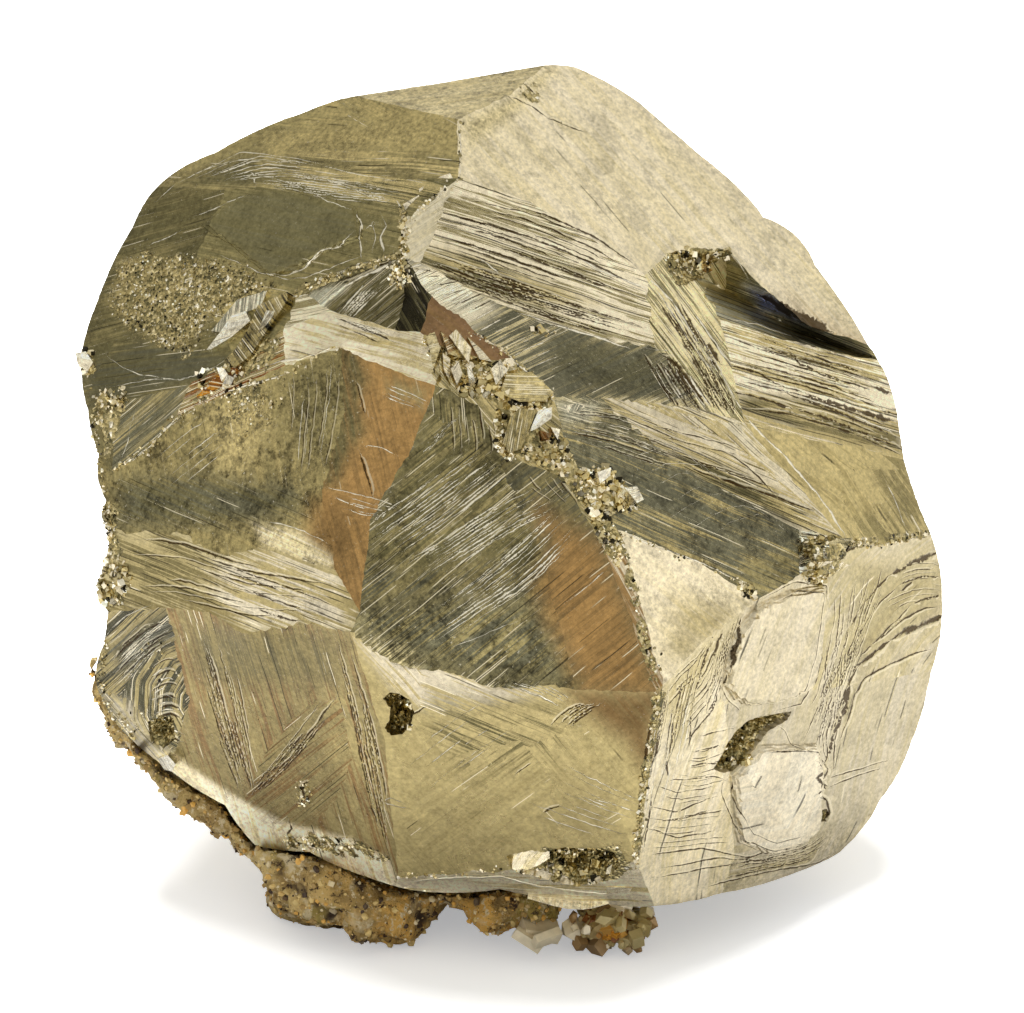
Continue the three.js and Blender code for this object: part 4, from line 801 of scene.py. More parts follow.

# How each face looks: two tones (a, b) and how far it leans to the second (blend), how streaky their border
# is (feather), the slope of its growth lines as seen, their spacing (pitch), how many bright and dark lines
# there are, the height of the ridges in millimetres (relief), roughness, mottling and how light the face is.
# The tones and the lightness paint in part the reflections and shade that each face shows, and the bright
# lines are painted highlights.
PLAIN = {
    "a": "gold", "b": "olive", "blend": 0.3, "feather": 0.9, "slope": 0, "pitch": 6, "bright": 0.0,
    "dark": 0.0, "relief": 0.02, "rough": 0.3, "mottle": 0.25, "blotch": 0.3, "mass": 0.0, "light": 1.0,
}
LOOKS = {
    "upper_left_rim": dict(light=1.5, a="olive", b="olive_gold", blend=0.4, slope=4, pitch=5, bright=0.08,
        dark=0.1, relief=0.03, mottle=0.55),
    "upper_left_dark": dict(light=1.6, a="dark_olive", blend=0.35, slope=12, pitch=5, bright=0.05,
        dark=0.05, mottle=0.4),
    "upper_left_edge": dict(light=1.05, a="dark_olive", blend=0.35, slope=-16, pitch=4, bright=0.05,
        dark=0.08, mottle=0.45),
    "top_sliver": dict(light=0.95, a="pale_gold", b="olive_gold", blend=0.4, feather=0.5, slope=-8,
        pitch=5, dark=0.02, mottle=0.7, blotch=0.8),
    "top_cream": dict(light=1.03, a="cream", b="pale_gold", blend=0.4, feather=0.7, slope=48, relief=0.01,
        rough=0.36, mottle=0.28, blotch=0.45),
    "pale_corner": dict(light=0.95, a="silver", b="pale_gold", blend=0.4, slope=-35, pitch=5, bright=0.15,
        dark=0.1, relief=0.06),
    "upper_band": dict(light=1.22, a="cream", blend=0.35, feather=2.0, slope=18, bright=0.3, dark=0.35,
        relief=0.04, mottle=0.15),
    "silver_band": dict(light=1.02, a="slate", b="pale_gold", blend=0.2, feather=1.5, slope=-26, pitch=4,
        bright=0.18, dark=0.15, relief=0.03, rough=0.26),
    "hatched": dict(light=1.45, a="pale_gold", b="dark_olive", blend=0.35, feather=2.0, slope=54, pitch=5,
        bright=0.3, dark=0.3, relief=0.04),
    "notch_rim": dict(light=1.3, a="cream", blend=0.5, feather=1.6, slope=60, bright=0.3, dark=0.3,
        relief=0.15),
    "notch_wall": dict(light=2.8, a="steel", b="slate", blend=0.4, feather=1.4, slope=22, pitch=4,
        dark=0.4, relief=0.05, rough=0.4),
    "notch_floor": dict(light=1.5, a="steel", blend=0.5, feather=1.4, slope=20, pitch=4, dark=0.4,
        relief=0.05, rough=0.4),
    "right_band": dict(light=1.3, a="olive_gold", b="cream", blend=0.55, feather=1.9, slope=16, pitch=7,
        bright=0.15, dark=0.35, relief=0.05, mottle=0.2),
    "right_fan": dict(light=1.1, b="olive_gold", blend=0.4, feather=1.4, slope=40, pitch=9, bright=0.06,
        dark=0.08, relief=0.03, mottle=0.35),
    "feather_cream": dict(light=0.95, b="cream", blend=0.45, feather=1.7, slope=24, bright=0.15,
        dark=0.35, relief=0.03),
    "slate": dict(light=1.2, a="slate", b="olive_gold", blend=0.18, feather=1.2, slope=24, pitch=5,
        bright=0.06, dark=0.12, rough=0.27, mottle=0.6, blotch=0.8),
    "ledge_step": dict(light=1.6, a="cream", b="dark", blend=0.35, feather=1.6, slope=10, pitch=7,
        dark=0.4, relief=0.2),
    "small_cream": dict(light=1.15, a="cream", b="pale_gold", blend=0.2, feather=0.5, slope=40,
        relief=0.008, mottle=0.4, blotch=0.5),
    "brown_edge": dict(light=1.1, a="brown", b="cream", feather=1.0, slope=62, pitch=5, bright=0.1,
        dark=0.2),
    "lower_right_top": dict(light=0.82, a="cream", b="pale_gold", blend=0.35, feather=0.6, slope=-70,
        pitch=9, dark=0.04, relief=0.015, rough=0.36),
    "lower_right_side": dict(light=0.8, a="pale_gold", b="cream", blend=0.4, feather=0.8, pitch=7,
        bright=0.03, dark=0.14, relief=0.03, rough=0.36,
        curve="960,560 925,585 895,612 868,650 850,700 838,745 815,800 770,850 700,885"),
    "lower_right_left": dict(light=0.96, a="cream", b="pale_gold", blend=0.45, feather=0.8, pitch=7,
        bright=0.03, dark=0.16, relief=0.03, rough=0.36,
        curve="752,600 738,632 728,662 721,690 712,722 698,760 684,800 670,850 662,900"),
    "lower_right_base": dict(light=0.72, a="cream", b="pale_gold", blend=0.4, feather=0.7, pitch=8,
        dark=0.1, relief=0.025, rough=0.36,
        curve="960,560 925,585 895,612 868,650 850,700 838,745 826,800 800,848 740,862 700,870"),
    "left_olive": dict(light=0.95, a="olive", b="dark_olive", blend=0.4, slope=70, pitch=5, dark=0.2,
        relief=0.04, mottle=0.6),
    "left_purple": dict(light=1.2, a="slate", b="olive_gold", blend=0.35, slope=-40, pitch=4, bright=0.2,
        dark=0.2, relief=0.05),
    "crevice": dict(light=0.95, a="olive_gold", b="rust", blend=0.4, feather=1.6, slope=-24, pitch=4,
        bright=0.3, dark=0.45, relief=0.12),
    "recess_side": dict(light=1.1, a="silver", blend=0.4, feather=1.5, slope=-10, pitch=5, bright=0.2,
        dark=0.2),
    "recess_wall": dict(light=0.9, a="olive", b="dark_olive", blend=0.5, feather=1.8, slope=-40, pitch=5,
        bright=0.3, dark=0.4, relief=0.1),
    "recess_dark": dict(light=0.7, a="dark", b="dark_olive", feather=1.5, slope=60, bright=0.1, dark=0.3,
        relief=0.06),
    "recess_brown": dict(light=0.8, a="rose", b="brown", feather=0.8, slope=40, pitch=7, dark=0.06),
    "recess_band": dict(light=1.25, a="cream", b="gold", blend=0.25, feather=1.6, slope=14, bright=0.15,
        dark=0.1, relief=0.04),
    "seam_upper": dict(light=1.2, blend=0.45, feather=1.6, slope=48, bright=0.3, dark=0.3, relief=0.08),
    "seam_lower": dict(light=1.2, blend=0.45, feather=1.6, slope=40, bright=0.3, dark=0.3, relief=0.08),
    "left_front": dict(light=1.15, a="olive", b="olive_gold", blend=0.4, feather=0.8, slope=80, pitch=5,
        bright=0.03, dark=0.08, relief=0.015, rough=0.28, mottle=0.8, blotch=1.0),
    "left_copper": dict(light=0.85, a="copper", b="brown", blend=0.35, feather=0.8, slope=76, dark=0.04,
        relief=0.01, rough=0.26, mottle=0.3),
    "left_band": dict(light=0.74, a="olive_gold", b="pale_gold", blend=0.5, feather=1.9, slope=22,
        bright=0.05, dark=0.3, relief=0.04),
    "centre": dict(light=1.15, a="olive", b="slate", blend=0.4, feather=1.5, slope=-39, pitch=5,
        bright=0.28, dark=0.2, relief=0.03, rough=0.26, mottle=0.6, blotch=0.8),
    "centre_copper": dict(a="slate", blend=0.5, feather=1.0, slope=-39, pitch=5, bright=0.1, dark=0.06,
        relief=0.015, rough=0.24, mottle=0.5, blotch=0.7),
    "lower_left_arc": dict(light=0.74, b="slate", blend=0.45, feather=1.6, slope=-42, pitch=5,
        bright=0.25, dark=0.3, relief=0.08),
    "lower_left": dict(light=0.78, a="olive_gold", b="brown", blend=0.35, feather=1.2, slope=73, pitch=4,
        bright=0.06, dark=0.14, relief=0.03, mottle=0.4),
    "lower_centre": dict(light=0.85, b="olive_gold", blend=0.35, feather=0.6, slope=48, pitch=5,
        bright=0.02, dark=0.03, relief=0.01, rough=0.28, blotch=0.2),
    "lower_centre_side": dict(light=0.85, b="olive_gold", blend=0.35, feather=0.6, slope=48, pitch=8,
        dark=0.05),
    "underside_bevel": dict(light=1.2, a="cream", b="gold", feather=1.2, slope=2, pitch=5, bright=0.1,
        dark=0.1, relief=0.03, mottle=0.4),
}
BACK_LOOK = dict(a="gold", b="olive_gold", blend=0.45, feather=1.6, bright=0.12, dark=0.2, relief=0.05,
    rough=0.34, mottle=0.3)

# Parts of faces that look different: the faces, the outline as seen, how soft its border is and what changes.
PATCHES = [
    # The dark crystal: a smooth plateau, brighter growth above it, grains to its left, a dark foot.
    ("upper_left_rim upper_left_dark", "225,165 300,150 460,160 460,195 400,215 340,195 240,185", 16,
     dict(b="gold", blend=0.45, bright=0.12, dark=0.2, light=1.25, feather=1.6, relief=0.04)),
    ("upper_left_rim", "160,175 250,135 460,112 460,152 330,148 230,165 150,200", 14,
     dict(a="olive_gold", b="olive", blend=0.45, bright=0.0, dark=0.0, feather=0.5, mottle=0.7)),
    ("upper_left_rim", "140,215 150,185 215,150 262,134 262,165 346,196 230,204", 34,
     dict(a="dark_olive", b="olive", blend=0.4, light=1.2)),
    ("upper_left_dark upper_left_rim upper_left_edge", DARK_PLATEAU, 10,
     dict(a="dark_olive", b="slate", blend=0.3, mottle=0.35, bright=0.0, dark=0.0, relief=0.0,
          feather=0.5)),
    ("upper_left_edge upper_left_dark", "120,258 170,255 240,265 290,290 262,302 215,320 185,358"
     " 140,335 106,305", 16,
     dict(a="olive", b="olive_gold", blend=0.5, mottle=1.1, bright=0.2, relief=0.05)),
    ("upper_left_edge", "80,365 140,340 200,350 235,358 190,385 115,403 88,410", 12,
     dict(a="slate", b="dark_olive", blend=0.5, mottle=0.3)),
    # The silver end of the curved band, and its dark far end.
    ("upper_band", "411,241 470,252 560,282 600,306 540,311 470,290 413,265", 14,
     dict(a="gold", b="dark_olive", blend=0.5, light=0.95)),
    ("recess_wall", "284,300 327,286 354,282 346,292 330,302 322,316 288,324", 3,
     dict(a="silver", b="steel", light=1.4, dark=0.1)),
    ("silver_band", "396,258 470,268 500,310 470,330 420,300 396,280", 18,
     dict(a="silver", b="steel", blend=0.3, bright=0.5, dark=0.3, relief=0.06, light=1.35)),
    ("silver_band", "540,320 660,345 705,412 600,400 540,392", 24,
     dict(a="slate", b="dark_olive", blend=0.35, bright=0.05, feather=0.8, mottle=0.6, light=1.0)),
    ("silver_band", "600,395 700,398 700,412 600,404", 6, dict(b="pale_gold", blend=0.7)),
    ("slate", "545,396 600,395 612,404 590,428 560,430", 14, dict(b="steel", blend=0.8, bright=0.4)),
    ("slate", "740,560 800,540 800,580 760,600 730,590", 14, dict(b="olive", blend=0.6)),
    ("top_cream", "790,290 880,345 870,352 800,330 770,285", 24, dict(b="brown", blend=0.6, feather=0.6)),
    ("top_cream", "458,120 512,94 545,65 560,70 520,115 470,150", 14, dict(a="pale_gold", mottle=0.7)),
    ("notch_wall notch_floor", "742,285 770,290 830,330 800,325 760,312", 14,
     dict(a="navy", b="navy", light=6.0)),
    ("notch_wall", "668,253 728,250 750,272 738,296 720,300 700,280", 10,
     dict(a="dark_olive", b="olive", light=1.8)),
    ("feather_cream", "640,395 745,415 780,450 845,540 780,470 700,425", 14, dict(b="silver", blend=0.7)),
    ("feather_cream", "650,440 720,460 815,510 800,532 700,488", 12,
     dict(b="dark_olive", blend=0.55, dark=0.6)),
    ("right_fan", "850,515 905,500 935,535 880,545 845,540", 14, dict(b="olive", blend=0.5)),
    ("small_cream", "665,590 758,598 735,640 690,670 660,660", 30,
     dict(b="gold", blend=0.75, light=0.98)),
    ("right_fan", "860,450 905,450 935,535 890,540", 24, dict(b="olive", light=0.95)),
    ("right_band", "734,392 800,396 850,410 902,424 904,458 850,450 790,430 742,414", 10,
     dict(a="gold", b="olive", blend=0.5, dark=0.5, light=0.88)),
    # The lower right crystal: its flat plates, and the yellower places between them.
    ("lower_right_top", TOP_PLATE, 5,
     dict(a="cream", b="pale_gold", blend=0.25, light=0.84, mottle=0.3)),
    ("lower_right_base", BASE_PLATE, 5,
     dict(a="cream", b="white", blend=0.25, light=0.88, mottle=0.3)),
    ("lower_right_left lower_right_top", "655,684 700,640 740,604 728,650 704,690 690,740 668,760", 20,
     dict(a="pale_gold", b="gold", blend=0.35, light=0.86)),
    ("lower_right_side", "850,560 950,560 945,620 900,640 860,680 845,640", 26,
     dict(a="pale_gold", b="gold", blend=0.4, light=0.72)),
    ("lower_right_base lower_right_side", "700,740 730,745 735,850 700,852", 14,
     dict(a="pale_gold", b="gold", blend=0.4)),
    ("lower_right_base", "690,850 780,852 840,820 860,840 800,872 722,894", 16,
     dict(a="cream", b="gold", blend=0.5, mottle=0.6)),
    # The left front face: a slate zone, copper by its right edge.
    ("left_front", "112,470 200,470 300,480 310,515 240,530 190,535 110,530", 24,
     dict(a="slate", b="dark_olive", blend=0.4, feather=1.2, bright=0.06)),
    ("left_front", "200,405 260,380 270,430 250,480 215,470", 26, dict(a="gold", blend=0.3, light=1.25)),
    ("left_front left_copper", "280,365 343,350 352,400 335,440 300,470 290,430", 22,
     dict(a="olive", b="dark_olive", blend=0.4, bright=0.1)),
    ("left_front left_copper", "310,498 345,495 366,520 362,612 335,570 300,540", 22,
     dict(a="copper", b="brown", blend=0.6, mottle=0.4, light=0.68)),
    ("left_copper", "326,336 362,350 374,380 364,404 370,432 352,460 340,492 318,490", 14,
     dict(a="dark_olive", b="brown", blend=0.25, mottle=0.8, light=1.05)),
    ("left_copper", "380,372 434,386 424,412 380,395", 16, dict(b="gold", blend=0.6)),
    ("left_band", "100,525 185,535 215,560 200,605 110,612", 30, dict(a="olive", b="gold", blend=0.4)),
    ("left_band", "215,560 262,545 340,565 362,612 340,632 250,630 210,606", 20,
     dict(a="gold", b="cream", blend=0.6, dark=0.25, light=0.82)),
    ("left_band left_front", "250,520 300,530 338,560 330,572 262,548", 8,
     dict(a="pale_gold", b="cream", blend=0.5, feather=1.8, bright=0.15)),
    # The centre face: bright streaks above, painted as highlights, slate below, cream feathers at its foot,
    # copper to the right.
    ("centre", "435,385 480,400 500,455 570,500 548,575 480,560 400,580 365,560 372,520 412,445", 16,
     dict(bright=0.2, relief=0.03, a="dark_olive", b="olive", blend=0.45, light=1.3)),
    ("centre", "470,400 500,400 505,470 470,440", 16, dict(a="dark_olive", bright=0.0)),
    ("centre", "360,600 450,590 548,600 575,688 480,684 380,655 350,632", 30,
     dict(a="slate", b="olive", blend=0.5, bright=0.05, mottle=1.0, blotch=1.0, light=1.45)),
    ("centre", "350,630 420,650 420,684 380,660", 16, dict(b="pale_gold", blend=0.6)),
    ("centre centre_copper", "538,502 604,540 640,615 665,700 580,700 558,650 538,610 530,585 545,550"
     " 532,515", 28,
     dict(a="copper", b="brown", blend=0.35, bright=0.05, feather=0.8, light=0.75, mottle=0.2,
          blotch=0.1)),
    ("lower_left lower_left_arc", "150,752 172,750 192,768 236,796 286,822 353,838 390,858 400,892"
     " 340,874 300,860 252,850 220,812 190,792 160,770", 5,
     dict(a="cream", b="pale_gold", blend=0.3, light=1.4, dark=0.04, bright=0.1, mottle=0.45,
          blotch=0.4)),
    ("lower_left", "320,680 352,690 392,780 398,868 356,838 326,760", 16, dict(light=1.0)),
    ("lower_left", "180,620 300,625 350,640 340,690 240,690 195,680", 22,
     dict(a="olive_gold", b="olive", blend=0.5, light=0.62)),
    ("lower_left_arc", "108,650 140,622 170,606 185,625 150,660 120,680", 14,
     dict(a="slate", b="steel", blend=0.3)),
    ("lower_left_arc lower_left", "98,690 130,700 180,760 240,830 225,840 150,770", 12,
     dict(a="pale_gold", b="cream", blend=0.4)),
    ("lower_centre", "345,632 430,655 560,695 440,720 395,700", 16,
     dict(b="cream", blend=0.6, feather=1.6, bright=0.2)),
    ("lower_centre", "430,690 560,700 575,760 470,780 420,730", 34,
     dict(b="dark_olive", blend=0.3, feather=1.3)),
    ("lower_centre lower_centre_side", "560,684 668,684 655,764 638,772 622,744 596,728 575,712", 24,
     dict(a="brown", b="olive_gold", blend=0.2, light=0.5)),
    ("underside_bevel", "525,897 570,899 610,904 655,906 600,915 545,908", 6, dict(a="cream", blend=0.1)),
]
# Where the surface is a mass of tiny crystals: outline as seen, softness of its border and share covered.
MASSES = [
    ("118,262 140,250 170,254 206,254 242,264 278,286 262,302 240,308 216,322 202,344 186,358 160,350"
     " 138,338 116,318 106,306 112,282", 26, 1.0),
    ("284,298 300,282 330,271 365,261 398,249 403,258 372,270 340,281 312,292 290,303", 4, 0.8),
    ("194,404 208,380 226,362 240,342 262,334 284,334 282,360 240,384 206,402", 10, 0.75),
    ("432,340 456,348 482,362 508,360 552,396 548,412 540,432 520,456 506,460 494,444 500,412 484,398"
     " 462,398 444,372", 6, 0.9),
    ("516,456 534,440 560,430 580,466 606,468 630,490 634,508 612,516 624,540 620,568 604,556 588,516"
     " 570,490 548,468", 6, 1.0),
    ("84,392 118,392 134,400 120,430 106,470 100,455 90,414", 12, 0.8),
    ("104,500 118,500 122,560 128,604 104,612 104,560", 8, 0.8), ("78,350 96,350 98,374 84,380", 6, 0.8),
    ("398,196 410,200 408,262 400,266 396,240", 6, 0.7), ("456,118 463,120 464,180 456,184", 4, 0.6),
    ("662,256 690,246 730,247 734,254 712,266 712,276 692,284 676,288", 6, 0.9),
    ("796,540 830,534 870,538 870,548 846,552 826,582 806,578", 6, 0.7),
    ("845,540 900,532 932,529 934,537 890,545 846,549", 4, 0.7),
    ("736,578 760,588 760,602 742,598", 5, 0.7),
    ("614,528 622,528 640,590 662,680 658,694 646,680 628,600", 4, 0.6),
    ("652,692 668,690 658,740 648,790 642,850 632,862 636,800 644,740", 6, 0.7),
    ("540,848 620,846 634,868 612,884 552,882", 6, 0.9),
    ("500,80 530,78 560,110 585,132 560,126 524,104", 14, 0.5),
    ("282,832 356,836 392,856 388,866 340,858 288,848", 6, 0.6),
    ("98,640 112,640 104,700 140,744 132,752 98,712", 8, 0.6),
    ("208,380 282,372 290,396 270,440 230,436 214,410", 26, 0.5),
]
# Places where the growth lines turn: the faces, the outline as seen, and the slope there or a line to follow.
TURNS = [
    ("lower_left", "245,800 262,760 290,720 318,700 340,700 352,760 336,800 300,838 262,826", -38),
    ("lower_left lower_left_arc", "98,690 130,700 180,760 240,830 225,850 150,780", 48),
    ("lower_left_arc", "120,700 140,650 170,616 190,640 186,700 176,750 140,730",
     "206,640 168,656 150,684 148,716 166,748 196,764"),
    ("lower_centre", "420,640 585,690 566,730 480,770 420,735", 22),
    ("lower_centre", "430,760 520,740 560,790 520,850 430,860 400,820", -36),
    ("lower_centre", "580,700 650,700 640,850 600,840", -30),
    ("left_copper", "322,485 360,494 404,505 380,522 345,516", 14),
    ("left_front", "110,480 200,475 300,490 335,570 260,548 185,535 108,530", 24),
    ("centre", "420,395 470,392 490,412 492,445 470,440 440,420", 86),
    ("upper_left_edge", "85,398 115,340 150,345 205,350 240,356 190,386 112,404", -8),
    ("upper_left_rim", "330,100 380,98 458,120 458,150 380,140", 30),
    ("slate", "555,400 640,405 690,470 660,470 600,450 565,440", 16),
    ("right_fan", "840,470 905,470 930,530 880,545 850,540", 58),
    ("feather_cream", "640,402 700,418 745,425 780,450 846,540 800,500 730,440", 40),
]

SEEDS = {name: 3.7 * i for i, name in enumerate(LOOKS)}
# Painted shade in the pits: how much darker their tones are made.
PIT_PAINTED_SHADE = 0.72


def linear(tone):
    """A tone as the linear colour that a shader works in."""
    value = np.array(TONES[tone]) / 255
    return np.where(value <= 0.04045, value / 12.92, ((value + 0.055) / 1.055) ** 2.4)


def grain_of(places, look):
    """Where each place lies across the growth lines, in spacings, and along them, in millimetres."""
    if "curve" in look:
        signed, travel = along_line(places, trace(look["curve"]))
        return signed / look["pitch"], travel * MM_PER_UNIT
    turn = math.radians(look["slope"])
    across = places @ np.array([-math.sin(turn), math.cos(turn)]) / look["pitch"]
    return across, places @ np.array([math.cos(turn), math.sin(turn)]) * MM_PER_UNIT


NUMBERS = ("blend", "feather", "mottle", "bright", "dark", "relief", "rough", "blotch", "mass")


def even_values(look, count):
    """The values of one look, the same at every corner."""
    values = {key: np.full(count, float(look[key])) for key in NUMBERS}
    values["a"], values["b"] = (np.tile(linear(look[key]), (count, 1)) for key in "ab")
    return values


def corner_values(name, places):
    """Every value that the metal's material reads, at the corners of one face's triangles."""
    look = {**PLAIN, **LOOKS[name]}
    values = even_values(look, len(places))
    values["light"] = np.full(len(places), float(look["light"]))
    for faces, outline, soft, change in PATCHES:
        if name not in faces.split():
            continue
        share = cover(places, outline, soft)
        for key, value in change.items():
            if key in ("a", "b"):
                values[key] += share[:, None] * (linear(value) - values[key])
            else:
                values[key] += share * (value - values[key])
    for outline, soft, mass in MASSES:
        values["mass"] = np.maximum(values["mass"], mass * cover(places, outline, soft))
    # Pits hold tiny crystals and are darkened with painted shade.
    for outline, _ in PITS:
        share = cover(places, outline, 2.0)
        values["mass"] = np.maximum(values["mass"], share)
        values["light"] *= 1 - PIT_PAINTED_SHADE * share
    # The light factor, which holds the pits' painted shade too, scales both tones: painted light and shade.
    painted_light = values.pop("light")[:, None]
    values["a"], values["b"] = values["a"] * painted_light, values["b"] * painted_light
    values["across"], values["along"] = grain_of(places, look)
    values["seed"] = np.full(len(places), SEEDS[name])
    middles = places.reshape(-1, 3, 2).mean(1).repeat(3, axis=0)
    for i, (faces, outline, slope) in enumerate(TURNS):
        if name in faces.split():
            turned = is_inside(middles, trace(outline))
            lines = {"curve": slope} if isinstance(slope, str) else {"slope": slope}
            across, along = grain_of(places[turned], {**lines, "pitch": look["pitch"]})
            values["across"][turned], values["along"][turned] = across, along
            values["seed"][turned] += 0.9 + 0.1 * i
    return values


# The values that each attribute of the mesh holds. Rough fills the last place.
ATTRIBUTES = {
    "grain": ("across", "along", "seed"),
    "lean": ("blend", "feather", "mottle"),
    "lines": ("bright", "dark", "relief"),
    # The edge value marks the glint lines, which are painted highlights.
    "crack_glint_rough": ("crack", "edge", "rough"),
    "growth": ("mass", "blotch", "rough"),
}


def gather(parts):
    """Joins the values of all faces and packs them in threes."""
    joined = {key: np.concatenate([part[key] for part in parts]) for key in parts[0]}
    packed = {name: np.stack([joined[key] for key in keys], axis=1) for name, keys in ATTRIBUTES.items()}
    packed["tone_a"], packed["tone_b"] = joined["a"], joined["b"]
    return packed


def make_mesh(name, points, triangles, values=None, region=None):
    """A mesh object in metres, with corner values, smooth within each face and sharp between faces."""
    mesh = bpy.data.meshes.new(name)
    mesh.from_pydata((points * MM).tolist(), [], triangles.tolist())
    mesh.polygons.foreach_set("use_smooth", np.ones(len(triangles), bool))
    mesh.set_sharp_from_angle(angle=math.radians(SHARP_ANGLE))
    if region is not None:
        mark_borders(mesh, region)
    for key, value in (values or {}).items():
        attribute = mesh.attributes.new(key, "FLOAT_VECTOR", "CORNER")
        attribute.data.foreach_set("vector", value.astype(np.float32).ravel())
    mesh.update()
    piece = bpy.data.objects.new(name, mesh)
    bpy.context.scene.collection.objects.link(piece)
    return piece


def mark_borders(mesh, region):
    """Makes every edge between two faces of the crystal sharp."""
    edge_of = np.zeros(len(mesh.loops), np.int32)
    mesh.loops.foreach_get("edge_index", edge_of)
    face_region = np.repeat(region, 3)
    lowest = np.full(len(mesh.edges), 10**6)
    highest = np.full(len(mesh.edges), -1)
    np.minimum.at(lowest, edge_of, face_region)
    np.maximum.at(highest, edge_of, face_region)
    attribute = mesh.attributes.get("sharp_edge") or mesh.attributes.new("sharp_edge", "BOOLEAN", "EDGE")
    sharp = np.zeros(len(mesh.edges), bool)
    attribute.data.foreach_get("value", sharp)
    attribute.data.foreach_set("value", sharp | (lowest != highest))


def back_plane(face, corner_points):
    """The direction of a back face and how far out it is, which is never inside the silhouette."""
    out, reach = BACK_FACES[face]
    normal = unit(out)
    away = max(reach, ((corner_points - BODY_CENTRE) @ normal).max() + 0.05)
    return normal, away


def build_back(outline_places, outline_points, corner_points):
    """The back shell: rings behind the silhouette, cut by the back faces and divided finely."""
    shell = bmesh.new()
    ring = [shell.verts.new(point) for point in outline_points]
    for depth, size in BACK_RINGS:
        places = VIEW_CENTRE + (outline_places - VIEW_CENTRE) * size
        after = [shell.verts.new(point) for point in spot(places, depth)]
        for i in range(len(ring)):
            j = (i + 1) % len(ring)
            shell.faces.new((ring[i], ring[j], after[j]))
            shell.faces.new((ring[i], after[j], after[i]))
        ring = after
    tail = shell.verts.new(spot(VIEW_CENTRE, TAIL_DEPTH)[0])
    for i in range(len(ring)):
        shell.faces.new((ring[i], ring[(i + 1) % len(ring)], tail))
    for face in BACK_FACES:
        normal, away = back_plane(face, corner_points)
        cut = bmesh.ops.bisect_plane(
            shell, geom=shell.verts[:] + shell.edges[:] + shell.faces[:], dist=1e-5,
            plane_co=BODY_CENTRE + normal * away, plane_no=normal, clear_outer=True,
        )
        border = [item for item in cut["geom_cut"] if isinstance(item, bmesh.types.BMEdge)]
        bmesh.ops.contextual_create(shell, geom=border)
    bmesh.ops.triangulate(shell, faces=shell.faces[:])
    for _ in range(9):
        long = [edge for edge in shell.edges if not edge.is_boundary and edge.calc_length() > BACK_STEP * 1.4]
        if not long:
            break
        bmesh.ops.subdivide_edges(shell, edges=long, cuts=1)
        bmesh.ops.triangulate(shell, faces=shell.faces[:])
    bmesh.ops.recalc_face_normals(shell, faces=shell.faces[:])
    return mesh_arrays(shell)


def back_values(points, triangles, corner_points):
    """Which back face each triangle lies on, and its corner values."""
    corners = points[triangles].reshape(-1, 3)
    normals = unit_rows(facing(points, triangles))
    middles = points[triangles].mean(1) - BODY_CENTRE
    region = np.full(len(triangles), len(BACK_FACES))
    for i, face in enumerate(BACK_FACES):
        normal, away = back_plane(face, corner_points)
        region[(np.abs(middles @ normal - away) < 0.02) & (np.abs(normals @ normal) > 0.98)] = i
    values = even_values({**PLAIN, **BACK_LOOK}, len(corners))
    out = unit_rows(np.array([direction for direction, _ in BACK_FACES.values()]))
    spin = np.repeat((normals @ out.T).argmax(1), 3)
    across, along = np.zeros(len(corners)), np.zeros(len(corners))
    for i, normal in enumerate(out):
        line = unit(np.cross(normal, unit((0.3 + 0.4 * (i % 3), -0.5 + 0.35 * (i % 4), 0.6))))
        here = spin == i
        along[here] = corners[here] @ line
        across[here] = corners[here] @ np.cross(normal, line) / (0.45 + 0.08 * (i % 4))
    no_line = np.full(len(corners), FAR_MARK)
    values.update(across=across, along=along, seed=spin * 3.1 + 160.0, crack=no_line, edge=no_line)
    return region, values


def build_pyrite():
    """The crystal's skin: the front sheet with the marks of its lines, joined to the back shell."""
    places, points, triangles, region, outline_ids = build_front()
    corner_points = spot(
        [CORNERS[name][:2] for name in OUTLINE_CORNERS],
        [VIEW_DISTANCE - 1 / NEARNESS[name] for name in OUTLINE_CORNERS],
    )
    # The glint lines, painted highlights, are marked in the edge value; the cracks in the crack value.
    edge = line_marks(places, triangles, drawn(GLINTS, GLINT_FAMILIES))
    crack = line_marks(places, triangles, drawn(CRACKS, CRACK_FAMILIES))
    parts, order = [], []
    for i, name in enumerate(RINGS):
        members = np.flatnonzero(region == i)
        ids = triangles[members].ravel()
        part = corner_values(name, places[ids])
        part["edge"], part["crack"] = edge[members].ravel(), crack[members].ravel()
        parts.append(part)
        order.append(members)
    triangles, region = triangles[np.concatenate(order)], region[np.concatenate(order)]

    back_points, back_triangles = build_back(places[outline_ids], points[outline_ids], corner_points)
    back_region, values = back_values(back_points, back_triangles, corner_points)
    tree = search_tree(points[outline_ids])
    new_ids = np.zeros(len(back_points), int)
    extra = []
    for k, point in enumerate(back_points):
        _, near, gap = tree.find(point)
        if gap < SAME_POINT:
            new_ids[k] = outline_ids[near]
        else:
            new_ids[k] = len(points) + len(extra)
            extra.append(point)
    extra = np.array(extra)
    extra += unit_rows(extra - BODY_CENTRE) * (waves(extra, *BACK_WAVES) - BACK_INSET)[:, None]
    everything = np.vstack([points, extra])
    packed = gather([*parts, values])
    piece = make_mesh(
        "pyrite", everything, np.vstack([triangles, new_ids[back_triangles]]), packed,
        np.concatenate([region, back_region + len(RINGS)]),
    )
    return piece, places, points, triangles


